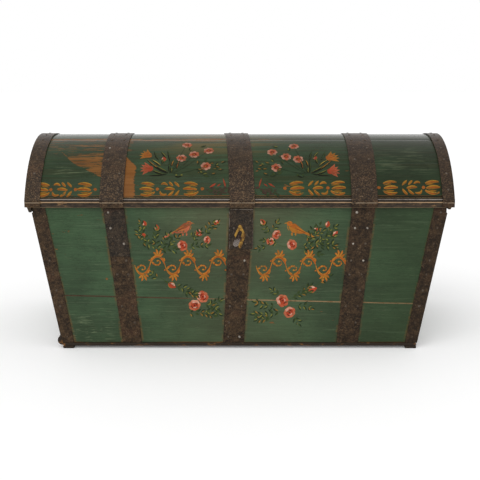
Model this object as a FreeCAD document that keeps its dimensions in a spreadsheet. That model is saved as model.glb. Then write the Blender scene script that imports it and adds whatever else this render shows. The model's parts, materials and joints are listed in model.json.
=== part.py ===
import FreeCAD, Part
import Sketcher
import math
import os

# Painted dome-top trunk of pine boards bound with forged iron straps.
# X runs along the trunk, Y from the front (negative) to the hinges (positive), Z up.
# The origin is on the floor, under the middle of the trunk. Lengths in millimetres.

SIZES = {
    # whole trunk
    "half_width": 640,
    "half_depth": 275,
    # floor and skids
    "skid_height": 8,
    "skid_width": 34,
    "base_board_thickness": 9,
    "base_overhang": 6,
    "batten_radius": 15,
    "batten_height": 25,
    # walls
    "wall_height": 438,
    "wall_thickness": 24,
    "end_overhang": 16.7,
    "end_taper": 78,
    "front_plank_left": 151.6,
    "front_plank_right": 125.2,
    "back_plank_height": 216,
    "end_plank_height": 202,
    # iron straps
    "strap_thickness": 3,
    "corner_strap_front": 35,
    "corner_strap_side": 44,
    "strap_end_gap": 1,
    "left_strap_inset": 245.3,
    "left_strap_top_width": 64,
    "left_strap_foot_inset": 214.3,
    "left_strap_foot_width": 59,
    "centre_strap_top": 6,
    "centre_strap_top_width": 71,
    "centre_strap_foot": -18.7,
    "centre_strap_foot_width": 64,
    "right_strap_inset": 252.3,
    "right_strap_top_width": 69,
    "right_strap_foot_inset": 213,
    "right_strap_foot_width": 66.5,
    "patch_thickness": 2,
    "patch_height": 146,
    "patch_width": 61,
    # lid mouldings
    "lid_gap": 0.3,
    "nose_rise": 3,
    "nose_radius": 4,
    "nose_bulge": 2,
    "bead_rise": 10,
    "bead_radius": 2.5,
    "bead_setback": 4.5,
    "rail_face_setback": 5,
    "lip_thickness": 5.5,
    "lip_clearance": 2.5,
    "front_lip_drop": 12,
    "left_lip_drop": 26,
    "right_lip_drop": 17,
    "end_lip_thickness": 7,
    "strap_tail_end": 2,
    "strap_shoulder": 7,
    # dome
    "dome_angle": 61.5,
    "spring_setback": 5.5,
    "spring_rise": 19,
    "stave_thickness": 18,
    "end_board_thickness": 22,
    "end_flange_setback": 1.5,
    "end_flange_depth": 38,
    "left_end_strap": 46,
    "right_end_strap": 36,
    "lid_left_strap_inset": 260,
    "lid_left_strap_width": 71,
    "lid_centre_strap": 8.6,
    "lid_centre_strap_lean": -0.066,
    "lid_centre_strap_width": 75,
    "lid_right_strap_inset": 269,
    "lid_right_strap_width": 78,
    # hinges
    "knuckle_radius": 6,
    "knuckle_setback": 6.5,
    "knuckle_length": 18,
    "knuckle_gap": 0.5,
    "knuckle_notch": 1.5,
    "pin_radius": 2.8,
    "pin_clearance": 0.05,
    "pin_head_radius": 5,
    "pin_head_thickness": 3,
    # lock
    "lock_plate_left": -31.5,
    "lock_plate_right": 40.5,
    "lock_plate_top": 17,
    "lock_plate_foot": 139,
    "lock_plate_thickness": 2,
    "escutcheon_x": 1.2,
    "escutcheon_top": 65,
    "escutcheon_foot": 137,
    "escutcheon_half_width": 17,
    "escutcheon_tip": 3,
    "escutcheon_thickness": 1.5,
    "keyhole_drop": 96,
    "keyhole_radius": 4,
    "key_slot_length": 14,
    "key_slot_width": 4,
    "cover_pivot_drop": 24,
    "cover_angle": 20,
    "cover_length": 36,
    "cover_top_radius": 6,
    "cover_foot_radius": 8.5,
    "cover_thickness": 2,
    "cover_gap": 0.3,
    "cover_hole_radius": 2.1,
    "rivet_radius": 2,
    "rivet_head_radius": 3.5,
    "rivet_head_thickness": 1.5,
    "lock_case_width": 110,
    "lock_case_height": 104,
    "lock_case_depth": 24,
    "lock_case_wall": 2,
    "lock_case_drop": 6,
    "lock_case_x": 4.5,
    "tongue_depth": 16,
    "tongue_thickness": 5,
    "tongue_length": 32,
    "tongue_setback": 3,
    "tongue_slot_gap": 3.5,
    "tongue_back_gap": 2,
    "tongue_plate_width": 30,
    "tongue_eye": 10,
    "tongue_eye_rise": 6,
    "bolt_side": 8,
    "bolt_length": 40,
    "bolt_gap": 0.3,
    "guide_thickness": 4,
    # handles
    "handle_drop": 112,
    "handle_plate_half_length": 78,
    "handle_plate_half_height": 24,
    "handle_plate_thickness": 3,
    "handle_eye_radius": 9,
    "handle_eye_width": 9,
    "handle_eye_spacing": 116,
    "handle_standoff": 17,
    "handle_bore_gap": 0.3,
    "bail_radius": 4.5,
    "bail_pin_length": 10,
    "bail_drop": 62,
    "bail_half_length": 46,
    # nails
    "nail_width": 10,
    "nail_head_height": 1.6,
}

STRAP_NAIL_SHARE = 0.27
NAIL_CROWN_SHARE = 0.45
WALL_NAIL_SHARES = (0.045, 0.15, 0.27, 0.385, 0.5, 0.6, 0.72, 0.83, 0.94)
DOME_NAIL_SHARES = (-0.93, -0.76, -0.59, -0.42, -0.25, -0.08, 0.08, 0.25, 0.42, 0.59, 0.76, 0.93)
FLANGE_NAIL_SHARES = (-0.9, -0.64, -0.38, -0.13, 0.13, 0.38, 0.64, 0.9)
STAVE_SHARES = (-1, -0.62, -0.22, 0.22, 0.62, 1)
FLOOR_SHARES = (-1, -0.36, 0.3, 1)
HANDLE_NAIL_SHARE = 0.9


class Size:
    """A size, kept as a formula of the sheet's cells together with its present value."""

    def __init__(self, text, value):
        self.text = text
        self.value = value

    def __add__(self, other):
        other = as_size(other)
        return Size(f"({self.text} + {other.text})", self.value + other.value)

    def __sub__(self, other):
        other = as_size(other)
        return Size(f"({self.text} - {other.text})", self.value - other.value)

    def __mul__(self, other):
        other = as_size(other)
        return Size(f"({self.text} * {other.text})", self.value * other.value)

    def __truediv__(self, other):
        other = as_size(other)
        return Size(f"({self.text} / {other.text})", self.value / other.value)

    def __radd__(self, other):
        return as_size(other) + self

    def __rsub__(self, other):
        return as_size(other) - self

    def __rmul__(self, other):
        return as_size(other) * self

    def __neg__(self):
        return Size(f"(0 - {self.text})", -self.value)


def as_size(number):
    return number if isinstance(number, Size) else Size(repr(number), number)


def sine(angle):
    return Size(f"sin({angle.text})", math.sin(math.radians(angle.value)))


def cosine(angle):
    return Size(f"cos({angle.text})", math.cos(math.radians(angle.value)))


def arctangent(ratio):
    return Size(f"(atan({ratio.text}) / 1deg)", math.degrees(math.atan(ratio.value)))


document = FreeCAD.newDocument("painted_trunk")
sheet = document.addObject("Spreadsheet::Sheet", "dims")


class Cells:
    """The cells of the sheet, read by name."""

    def __getattr__(self, name):
        return Size(f"dims.{name}", SIZES[name])


for row, (name, value) in enumerate(SIZES.items(), start=1):
    sheet.set(f"A{row}", name)
    sheet.set(f"B{row}", str(value))
    sheet.setAlias(f"B{row}", name)
document.recompute()
dims = Cells()

PLANES = {"XY_Plane": 1, "XZ_Plane": -1, "YZ_Plane": 1}
nodes = []


def new_body(label):
    body = document.addObject("PartDesign::Body", label)
    body.Label = label
    nodes.append(body)
    return body


def bind(item, path, size):
    item.setExpression(path, as_size(size).text)


def new_sketch(body, plane, level):
    """A sketch on one of the body's own planes, moved along its normal to a level."""
    sketch = body.newObject("Sketcher::SketchObject", body.Name + "_outline")
    support = [item for item in body.Origin.OriginFeatures if item.Role == plane][0]
    sketch.AttachmentSupport = [(support, "")]
    sketch.MapMode = "FlatFace"
    offset = PLANES[plane] * as_size(level)
    sketch.AttachmentOffset = FreeCAD.Placement(
        FreeCAD.Vector(0, 0, offset.value), FreeCAD.Rotation())
    bind(sketch, "AttachmentOffset.Base.z", offset)
    return sketch


def pin_point(sketch, edge, end, across, up):
    """Ties one end of a sketch edge to a place that the sheet drives."""
    for kind, place in (("DistanceX", across), ("DistanceY", up)):
        place = as_size(place)
        index = sketch.addConstraint(Sketcher.Constraint(kind, -1, 1, edge, end, place.value))
        bind(sketch, f"Constraints[{index}]", place)


def vector(across, up):
    return FreeCAD.Vector(as_size(across).value, as_size(up).value, 0)


def outline(body, plane, level, corners):
    sketch = new_sketch(body, plane, level)
    points = [vector(*corner) for corner in corners]
    for start, end in zip(points, points[1:] + points[:1]):
        sketch.addGeometry(Part.LineSegment(start, end))
    for edge in range(len(points)):
        following = (edge + 1) % len(points)
        sketch.addConstraint(Sketcher.Constraint("Coincident", edge, 2, following, 1))
        pin_point(sketch, edge, 1, *corners[edge])
    return sketch


def circle(body, plane, level, centre, radius):
    sketch = new_sketch(body, plane, level)
    radius = as_size(radius)
    ring = sketch.addGeometry(Part.Circle(vector(*centre), FreeCAD.Vector(0, 0, 1), radius.value))
    index = sketch.addConstraint(Sketcher.Constraint("Radius", ring, radius.value))
    bind(sketch, f"Constraints[{index}]", radius)
    pin_point(sketch, ring, 3, *centre)
    return sketch


def on_dome(radius, angle):
    """A point of the dome's section, the angle measured from the crown towards the hinges."""
    return dome_y + radius * sine(angle), dome_z + radius * cosine(angle)


def arc(sketch, radius, first, last):
    start = vector(*on_dome(radius, last))
    end = vector(*on_dome(radius, first))
    middle = vector(*on_dome(radius, (first + last) / 2))
    return sketch.addGeometry(Part.Arc(start, middle, end))


def band(body, level, outer, inner, first, last):
    """A curved strip of the dome's section between two radii and two angles."""
    sketch = new_sketch(body, "YZ_Plane", level)
    high = arc(sketch, outer, first, last)
    low = arc(sketch, inner, first, last)
    sides = [sketch.addGeometry(Part.LineSegment(vector(*on_dome(inner, angle)),
                                                 vector(*on_dome(outer, angle))))
             for angle in (last, first)]
    for end, side in zip((1, 2), sides):
        sketch.addConstraint(Sketcher.Constraint("Coincident", side, 1, low, end))
        sketch.addConstraint(Sketcher.Constraint("Coincident", side, 2, high, end))
    for edge, radius in ((high, outer), (low, inner)):
        pin_point(sketch, edge, 3, dome_y, dome_z)
        index = sketch.addConstraint(Sketcher.Constraint("Radius", edge, radius.value))
        bind(sketch, f"Constraints[{index}]", radius)
        for end, angle in ((1, last), (2, first)):
            place = on_dome(radius, angle)[0]
            index = sketch.addConstraint(
                Sketcher.Constraint("DistanceX", -1, 1, edge, end, place.value))
            bind(sketch, f"Constraints[{index}]", place)
    return sketch


def grow(body, kind, sketch, length):
    feature = body.newObject(kind, body.Name + "_feature")
    feature.Profile = sketch
    feature.SideType = "Symmetric"
    feature.Length = as_size(length).value
    bind(feature, "Length", length)
    return feature


def pad(body, sketch, length):
    return grow(body, "PartDesign::Pad", sketch, length)


def cut(body, sketch, length):
    return grow(body, "PartDesign::Pocket", sketch, length)


def slab(body, plane, low, high, corners):
    """A straight piece with this outline, from one level to another across its plane."""
    return pad(body, outline(body, plane, (low + high) / 2, corners), high - low)


def notch(body, plane, low, high, corners):
    return cut(body, outline(body, plane, (low + high) / 2, corners), high - low)


def rod(body, plane, low, high, centre, radius):
    return pad(body, circle(body, plane, (low + high) / 2, centre, radius), high - low)


def bore(body, plane, low, high, centre, radius):
    return cut(body, circle(body, plane, (low + high) / 2, centre, radius), high - low)


def rectangle(left, right, low, high):
    return [(left, low), (right, low), (right, high), (left, high)]


def between(first, last, share):
    return first + (last - first) * share


# Levels and faces that the pieces share.
floor_top = dims.skid_height + dims.base_board_thickness
seam = floor_top + dims.wall_height
lid_foot = seam + dims.lid_gap
strap_front = -(dims.half_depth - dims.strap_thickness)
lip_face = strap_front + dims.nose_bulge
lip_back = lip_face + dims.lip_thickness
wall_front = lip_back + dims.lip_clearance + dims.strap_thickness
wall_back = dims.half_depth - dims.knuckle_radius - dims.knuckle_setback
inside_front = wall_front + dims.wall_thickness
inside_back = wall_back - dims.wall_thickness
wall_top_half = dims.half_width - dims.end_overhang
wall_base_half = wall_top_half - dims.end_taper
wall_slope = dims.end_taper / dims.wall_height
wall_lean = arctangent(wall_slope)
spring = seam + dims.spring_rise
spring_front = strap_front + dims.spring_setback
dome_y = (wall_back + spring_front) / 2
dome_radius = (wall_back - dome_y) / sine(dims.dome_angle)
dome_z = spring - dome_radius * cosine(dims.dome_angle)
inner_radius = dome_radius - dims.stave_thickness
strap_radius = dome_radius + dims.strap_thickness
inner_front, board_foot = on_dome(inner_radius, -dims.dome_angle)
inner_back = on_dome(inner_radius, dims.dome_angle)[0]
outer_front = on_dome(dome_radius, -dims.dome_angle)
strap_spring_front = on_dome(strap_radius, -dims.dome_angle)
strap_spring_back = on_dome(strap_radius, dims.dome_angle)
end_face = dims.half_width - dims.end_flange_setback - dims.strap_thickness
end_inside = end_face - dims.end_board_thickness
nose = seam + dims.nose_rise
bead = seam + dims.bead_rise
strap_foot = floor_top
strap_head = seam - dims.strap_end_gap
hinge_y = wall_back + dims.knuckle_setback
hinge_z = seam


def end_x(height):
    """Half of the trunk's width over the boards at this height: the ends lean outwards."""
    return wall_base_half + wall_slope * (height - floor_top)


def sided(side, corners):
    return [(side * across, up) for across, up in corners]


# The deep lips of the lid's ends pass an upright strip along the top of the walls.
upright_foot = seam - dims.left_lip_drop - dims.lip_clearance
upright_x = end_x(upright_foot)


# Front and back walls: two planks each, shaped to the leaning ends.
def wall_plank(label, front, back, corners):
    board = new_body(label)
    slab(board, "XZ_Plane", front, back, corners)
    return board


front_left_joint = floor_top + dims.front_plank_left
front_right_joint = floor_top + dims.front_plank_right
back_joint = floor_top + dims.back_plank_height
end_joint = floor_top + dims.end_plank_height
wall_top = [(upright_x, upright_foot), (upright_x, seam), (-upright_x, seam),
            (-upright_x, upright_foot)]


def foot_corners(left_joint, right_joint):
    return [(-end_x(floor_top), floor_top), (end_x(floor_top), floor_top),
            (end_x(right_joint), right_joint), (-end_x(left_joint), left_joint)]


def top_corners(left_joint, right_joint):
    return [(-end_x(left_joint), left_joint), (end_x(right_joint), right_joint), *wall_top]


wall_plank("front_board_lower", wall_front, inside_front,
           foot_corners(front_left_joint, front_right_joint))
front_upper = wall_plank("front_board_upper", wall_front, inside_front,
                         top_corners(front_left_joint, front_right_joint))
wall_plank("back_board_lower", inside_back, wall_back, foot_corners(back_joint, back_joint))
wall_plank("back_board_upper", inside_back, wall_back, top_corners(back_joint, back_joint))

# End walls: two planks each, leaning outwards between the front and the back.
for side, word in ((-1, "left"), (1, "right")):
    wall_plank(f"{word}_end_board_lower", inside_front, inside_back, sided(side, [
        (end_x(floor_top) - dims.wall_thickness, floor_top), (end_x(floor_top), floor_top),
        (end_x(end_joint), end_joint), (end_x(end_joint) - dims.wall_thickness, end_joint)]))
    wall_plank(f"{word}_end_board_upper", inside_front, inside_back, sided(side, [
        (end_x(end_joint) - dims.wall_thickness, end_joint), (end_x(end_joint), end_joint),
        (upright_x, upright_foot), (upright_x, seam),
        (end_x(seam) - dims.wall_thickness, seam)]))

# Floor: three boards nailed on from below, proud of the walls, on two skids.
base_front = wall_front - dims.base_overhang
base_back = wall_back + dims.base_overhang
base_middle = (base_front + base_back) / 2
base_half = (base_back - base_front) / 2
for word, first, last in zip(("front", "middle", "back"), FLOOR_SHARES, FLOOR_SHARES[1:]):
    board = new_body(f"bottom_board_{word}")
    slab(board, "XY_Plane", dims.skid_height, floor_top, rectangle(
        -end_x(floor_top), end_x(floor_top),
        base_middle + base_half * first, base_middle + base_half * last))

for side, word in ((-1, "left"), (1, "right")):
    skid = new_body(f"{word}_skid")
    slab(skid, "XZ_Plane", base_front, base_back, sided(side, rectangle(
        end_x(floor_top) - dims.skid_width, end_x(floor_top), 0 * dims.skid_height,
        dims.skid_height)))

# Half-round batten along the foot of the left end, flush with the front straps.
strap_face = wall_front - dims.strap_thickness
batten_x = -end_x(dims.batten_height)
batten_top = dims.batten_height + dims.batten_radius
corner_front_end = wall_front + dims.corner_strap_side
corner_back_end = wall_back - dims.corner_strap_side
batten = new_body("left_base_batten")
rod(batten, "XZ_Plane", strap_face, corner_back_end,
    (batten_x, dims.batten_height), dims.batten_radius)
notch(batten, "XZ_Plane", strap_face, wall_back, [
    (-end_x(floor_top), 0 * batten_top), (-end_x(floor_top), floor_top),
    (-end_x(batten_top), batten_top), (batten_x + dims.batten_radius, batten_top),
    (batten_x + dims.batten_radius, 0 * batten_top)])


# Corner straps: angle irons that lap the front or the back and the leaning end.
side_head = upright_foot - dims.strap_end_gap


def corner_strap(label, side, face, outward, leg_end, leg_foot):
    strap = new_body(label)
    outer = face + outward * dims.strap_thickness
    low, high = sorted((face, outer), key=lambda place: place.value)
    step = [(end_x(strap_foot), strap_foot), (end_x(leg_foot), leg_foot)]
    slab(strap, "XZ_Plane", low, high, sided(side, [
        (end_x(strap_foot) - dims.corner_strap_front, strap_foot),
        *(step if leg_foot is not strap_foot else []),
        (end_x(leg_foot) + dims.strap_thickness, leg_foot),
        (end_x(side_head) + dims.strap_thickness, side_head), (end_x(side_head), side_head),
        (upright_x, upright_foot), (upright_x, strap_head),
        (upright_x - dims.corner_strap_front, strap_head)]))
    low, high = sorted((outer, leg_end), key=lambda place: place.value)
    slab(strap, "XZ_Plane", low, high, sided(side, [
        (end_x(leg_foot), leg_foot), (end_x(leg_foot) + dims.strap_thickness, leg_foot),
        (end_x(side_head) + dims.strap_thickness, side_head), (end_x(side_head), side_head)]))
    return strap


for side, word in ((-1, "left"), (1, "right")):
    front_foot = batten_top + dims.strap_end_gap if side < 0 else strap_foot
    corner_strap(f"front_strap_corner_{word}", side, wall_front, -1, corner_front_end,
                 front_foot)
    corner_strap(f"back_strap_corner_{word}", side, wall_back, 1, corner_back_end, strap_foot)


# Flat straps of the front: they fan with the taper of the trunk.
class FlatStrap:
    """The two ends of a strap on the front, and what lies at each height between them."""

    def __init__(self, top, top_width, foot, foot_width):
        self.top, self.top_width = top, top_width
        self.foot, self.foot_width = foot, foot_width

    def share(self, height):
        return (height - strap_foot) / (strap_head - strap_foot)

    def centre(self, height):
        return self.foot + (self.top - self.foot) * self.share(height)

    def half(self, height):
        return (self.foot_width + (self.top_width - self.foot_width) * self.share(height)) / 2

    def edge(self, side, height):
        return self.centre(height) + side * self.half(height)

    def corners(self, low, high):
        return [(self.edge(-1, low), low), (self.edge(1, low), low),
                (self.edge(1, high), high), (self.edge(-1, high), high)]


front_straps = {
    "left": FlatStrap(dims.left_strap_inset - wall_top_half, dims.left_strap_top_width,
                      dims.left_strap_foot_inset - wall_base_half, dims.left_strap_foot_width),
    "centre": FlatStrap(dims.centre_strap_top, dims.centre_strap_top_width,
                        dims.centre_strap_foot, dims.centre_strap_foot_width),
    "right": FlatStrap(wall_top_half - dims.right_strap_inset, dims.right_strap_top_width,
                       wall_base_half - dims.right_strap_foot_inset,
                       dims.right_strap_foot_width),
}
front_strap_bodies = {}
for word, strap in front_straps.items():
    piece = new_body(f"front_strap_{word}")
    slab(piece, "XZ_Plane", strap_face, wall_front, strap.corners(strap_foot, strap_head))
    front_strap_bodies[word] = piece

# Repair plate nailed over the upper part of the left strap.
patch_top = seam - dims.lock_plate_top
patch_foot = patch_top - dims.patch_height
patch_face = strap_face - dims.patch_thickness
patch = new_body("front_strap_patch")
left = front_straps["left"]
slab(patch, "XZ_Plane", patch_face, strap_face, [
    (left.centre(patch_foot) - dims.patch_width / 2, patch_foot),
    (left.centre(patch_foot) + dims.patch_width / 2, patch_foot),
    (left.centre(patch_top) + dims.patch_width / 2, patch_top),
    (left.centre(patch_top) - dims.patch_width / 2, patch_top)])

# Hinge straps: two knuckles on each body strap take the lid strap's knuckle between them.
hinge_places = {
    "left": (dims.lid_left_strap_inset - dims.half_width, dims.lid_left_strap_width),
    "right": (dims.half_width - dims.lid_right_strap_inset, dims.lid_right_strap_width),
}
notch_drop = dims.knuckle_radius + dims.knuckle_notch
strap_back = wall_back + dims.strap_thickness
bore_radius = dims.pin_radius + dims.pin_clearance


def knuckle(body, low, high, tab_low, tab_high):
    """One eye of a hinge with the tab that joins it to its strap."""
    slab(body, "YZ_Plane", low, high, rectangle(wall_back, strap_back, tab_low, tab_high))
    rod(body, "YZ_Plane", low, high, (hinge_y, hinge_z), dims.knuckle_radius)


def hinge_ranges(middle, width):
    outer = width / 2
    inner = outer - dims.knuckle_length
    return [(middle - outer, middle - inner), (middle + inner, middle + outer)]


for word, (middle, width) in hinge_places.items():
    piece = new_body(f"back_hinge_strap_{word}")
    slab(piece, "XZ_Plane", wall_back, strap_back, rectangle(
        middle - width / 2, middle + width / 2, strap_foot, hinge_z - notch_drop))
    for low, high in hinge_ranges(middle, width):
        knuckle(piece, low, high, hinge_z - notch_drop, hinge_z)
    bore(piece, "YZ_Plane", middle - width, middle + width, (hinge_y, hinge_z), bore_radius)

back_centre = new_body("back_strap_centre")
slab(back_centre, "XZ_Plane", wall_back, strap_back, rectangle(
    dims.centre_strap_foot - dims.centre_strap_foot_width / 2,
    dims.centre_strap_foot + dims.centre_strap_foot_width / 2, strap_foot, strap_head))

# Hinge pins, headed at both ends.
for word, (middle, width) in hinge_places.items():
    pin = new_body(f"hinge_pin_{word}")
    stem = width / 2 + dims.knuckle_gap
    rod(pin, "YZ_Plane", middle - stem, middle + stem, (hinge_y, hinge_z), dims.pin_radius)
    for side in (-1, 1):
        near = middle + side * stem
        far = near + side * dims.pin_head_thickness
        low, high = sorted((near, far), key=lambda place: place.value)
        rod(pin, "YZ_Plane", low, high, (hinge_y, hinge_z), dims.pin_head_radius)

# Lid frame: a moulded rail in front, a plain one behind, and a deep-lipped one at each end.
lip_foot = seam - dims.front_lip_drop
rail_face = strap_front + dims.rail_face_setback
front_rail = new_body("lid_front_rail")
slab(front_rail, "YZ_Plane", -end_inside, end_inside, [
    (inside_front, lid_foot), (inside_front, board_foot), (inner_front, board_foot),
    outer_front, (rail_face, nose + dims.nose_radius), (lip_face, nose), (lip_face, lip_foot),
    (lip_back, lip_foot), (lip_back, lid_foot)])
rod(front_rail, "YZ_Plane", -end_inside, end_inside,
    (strap_front + dims.nose_radius, nose), dims.nose_radius)
rod(front_rail, "YZ_Plane", -end_inside, end_inside,
    (strap_front + dims.bead_setback, bead), dims.bead_radius)

back_rail = new_body("lid_back_rail")
slab(back_rail, "YZ_Plane", -end_inside, end_inside, [
    (inside_back, lid_foot), (wall_back, lid_foot), (wall_back, spring),
    (inner_back, board_foot), (inside_back, board_foot)])

for side, word, drop in ((-1, "left", dims.left_lip_drop), (1, "right", dims.right_lip_drop)):
    rail = new_body(f"lid_{word}_rail")
    foot = seam - drop
    lip_inner = upright_x + dims.lip_clearance
    nose_x = dims.half_width - dims.nose_radius
    slab(rail, "XZ_Plane", lip_face, wall_back, sided(side, [
        (end_inside, lid_foot), (lip_inner, lid_foot), (lip_inner, foot),
        (lip_inner + dims.end_lip_thickness, foot), (dims.half_width - dims.nose_bulge, nose),
        (nose_x, board_foot), (end_inside, board_foot)]))
    rod(rail, "XZ_Plane", lip_face, wall_back, (side * nose_x, nose), dims.nose_radius)

# Arched end boards that carry the staves.
for side, word in ((-1, "left"), (1, "right")):
    board = new_body(f"lid_end_board_{word}")
    level = side * (end_inside + end_face) / 2
    sketch = new_sketch(board, "YZ_Plane", level)
    crown = arc(sketch, inner_radius, -dims.dome_angle, dims.dome_angle)
    chord = sketch.addGeometry(Part.LineSegment(
        vector(inner_front, board_foot), vector(inner_back, board_foot)))
    sketch.addConstraint(Sketcher.Constraint("Coincident", crown, 1, chord, 2))
    sketch.addConstraint(Sketcher.Constraint("Coincident", crown, 2, chord, 1))
    pin_point(sketch, chord, 1, inner_front, board_foot)
    pin_point(sketch, chord, 2, inner_back, board_foot)
    index = sketch.addConstraint(Sketcher.Constraint("Radius", crown, inner_radius.value))
    bind(sketch, f"Constraints[{index}]", inner_radius)
    pad(board, sketch, dims.end_board_thickness)

# Five bent staves from spring to spring.
for number, (first, last) in enumerate(zip(STAVE_SHARES, STAVE_SHARES[1:]), start=1):
    stave = new_body(f"lid_stave_{number}")
    sketch = band(stave, 0 * end_face, dome_radius, inner_radius,
                  dims.dome_angle * first, dims.dome_angle * last)
    pad(stave, sketch, end_face * 2)


# Lid straps: over the dome, down over the moulding in front and over the rail behind.
def lid_strap(label, low, high, back_foot):
    strap = new_body(label)
    sketch = band(strap, (low + high) / 2, strap_radius, dome_radius,
                  -dims.dome_angle, dims.dome_angle)
    pad(strap, sketch, high - low)
    tail = lip_foot + dims.strap_tail_end
    front = strap_front - dims.strap_thickness
    slab(strap, "YZ_Plane", low, high, [
        outer_front, (strap_front, nose + dims.nose_radius), (strap_front, tail),
        (front, tail), (front, nose + dims.strap_shoulder), strap_spring_front])
    slab(strap, "YZ_Plane", low, high, [
        (wall_back, back_foot), (strap_back, back_foot), (strap_back, spring),
        strap_spring_back, (wall_back, spring)])
    return strap


for side, word, width in ((-1, "left", dims.left_end_strap), (1, "right", dims.right_end_strap)):
    outside = dims.half_width - dims.end_flange_setback
    low, high = sorted((side * outside, side * (outside - width)), key=lambda place: place.value)
    strap = lid_strap(f"lid_strap_end_{word}", low, high, lid_foot)
    low, high = sorted((side * outside, side * end_face), key=lambda place: place.value)
    sketch = band(strap, (low + high) / 2, dome_radius,
                  strap_radius - dims.end_flange_depth, -dims.dome_angle, dims.dome_angle)
    pad(strap, sketch, high - low)
    notch(strap, "YZ_Plane", low, high, rectangle(inner_front, inner_back, seam, board_foot))

for word, (middle, width) in hinge_places.items():
    strap = lid_strap(f"lid_strap_{word}", middle - width / 2, middle + width / 2,
                      hinge_z + notch_drop)
    reach = width / 2 - dims.knuckle_length - dims.knuckle_gap
    knuckle(strap, middle - reach, middle + reach, hinge_z, hinge_z + notch_drop)
    bore(strap, "YZ_Plane", middle - width, middle + width, (hinge_y, hinge_z), bore_radius)

# The centre strap lies askew over the dome, so its two edges are cut slanting.
reach = dims.lid_centre_strap_width
strap = lid_strap("lid_strap_centre", dims.lid_centre_strap - reach,
                  dims.lid_centre_strap + reach, lid_foot)
front_edge = -dims.half_depth - dims.strap_thickness
back_edge = dims.half_depth + dims.strap_thickness
for side in (-1, 1):
    near = dims.lid_centre_strap + side * dims.lid_centre_strap_width / 2
    far = near + dims.lid_centre_strap_lean * (back_edge - front_edge)
    beyond = dims.lid_centre_strap + side * reach * 2
    notch(strap, "XY_Plane", lip_foot, dome_z + dome_radius * 2, [
        (near, front_edge), (beyond, front_edge), (beyond, back_edge), (far, back_edge)])

# Lock: plate, brass escutcheon, swinging keyhole cover, case, bolt and the lid's tongue.
keyhole_z = seam - dims.keyhole_drop
plate_face = strap_face - dims.lock_plate_thickness
escutcheon_face = plate_face - dims.escutcheon_thickness
case_back = inside_front + dims.lock_case_depth


def keyhole(body, low, high):
    centre = (dims.escutcheon_x, keyhole_z)
    bore(body, "XZ_Plane", low, high, centre, dims.keyhole_radius)
    notch(body, "XZ_Plane", low, high, rectangle(
        dims.escutcheon_x - dims.key_slot_width / 2, dims.escutcheon_x + dims.key_slot_width / 2,
        keyhole_z - dims.key_slot_length, keyhole_z))


plate = new_body("lock_plate")
slab(plate, "XZ_Plane", plate_face, strap_face, rectangle(
    dims.lock_plate_left, dims.lock_plate_right,
    seam - dims.lock_plate_foot, seam - dims.lock_plate_top))
keyhole(plate, plate_face, strap_face)
keyhole(front_strap_bodies["centre"], strap_face, wall_front)
keyhole(front_upper, wall_front, inside_front)

escutcheon_top = seam - dims.escutcheon_top
escutcheon_foot = seam - dims.escutcheon_foot
escutcheon = new_body("keyhole_escutcheon")
slab(escutcheon, "XZ_Plane", escutcheon_face, plate_face, [
    (dims.escutcheon_x - dims.escutcheon_tip, escutcheon_foot),
    (dims.escutcheon_x + dims.escutcheon_tip, escutcheon_foot),
    (dims.escutcheon_x + dims.escutcheon_half_width, keyhole_z),
    (dims.escutcheon_x + dims.escutcheon_tip, escutcheon_top),
    (dims.escutcheon_x - dims.escutcheon_tip, escutcheon_top),
    (dims.escutcheon_x - dims.escutcheon_half_width, keyhole_z)])
keyhole(escutcheon, escutcheon_face, plate_face)

pivot_x = dims.escutcheon_x
pivot_z = escutcheon_top - dims.cover_pivot_drop
cover_back = escutcheon_face - dims.cover_gap
cover_face = cover_back - dims.cover_thickness
foot_x = pivot_x - dims.cover_length * sine(dims.cover_angle)
foot_z = pivot_z - dims.cover_length * cosine(dims.cover_angle)
cover = new_body("keyhole_cover")
slab(cover, "XZ_Plane", cover_face, cover_back, [
    (pivot_x - dims.cover_top_radius * cosine(dims.cover_angle),
     pivot_z + dims.cover_top_radius * sine(dims.cover_angle)),
    (foot_x - dims.cover_foot_radius * cosine(dims.cover_angle),
     foot_z + dims.cover_foot_radius * sine(dims.cover_angle)),
    (foot_x + dims.cover_foot_radius * cosine(dims.cover_angle),
     foot_z - dims.cover_foot_radius * sine(dims.cover_angle)),
    (pivot_x + dims.cover_top_radius * cosine(dims.cover_angle),
     pivot_z - dims.cover_top_radius * sine(dims.cover_angle))])
rod(cover, "XZ_Plane", cover_face, cover_back, (pivot_x, pivot_z), dims.cover_top_radius)
rod(cover, "XZ_Plane", cover_face, cover_back, (foot_x, foot_z), dims.cover_foot_radius)
bore(cover, "XZ_Plane", cover_face, cover_back, (pivot_x, pivot_z), dims.cover_hole_radius)

rivet = new_body("cover_rivet")
rivet_face = cover_face - dims.cover_gap
rod(rivet, "XZ_Plane", rivet_face, escutcheon_face, (pivot_x, pivot_z), dims.rivet_radius)
rod(rivet, "XZ_Plane", rivet_face - dims.rivet_head_thickness, rivet_face,
    (pivot_x, pivot_z), dims.rivet_head_radius)

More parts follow.
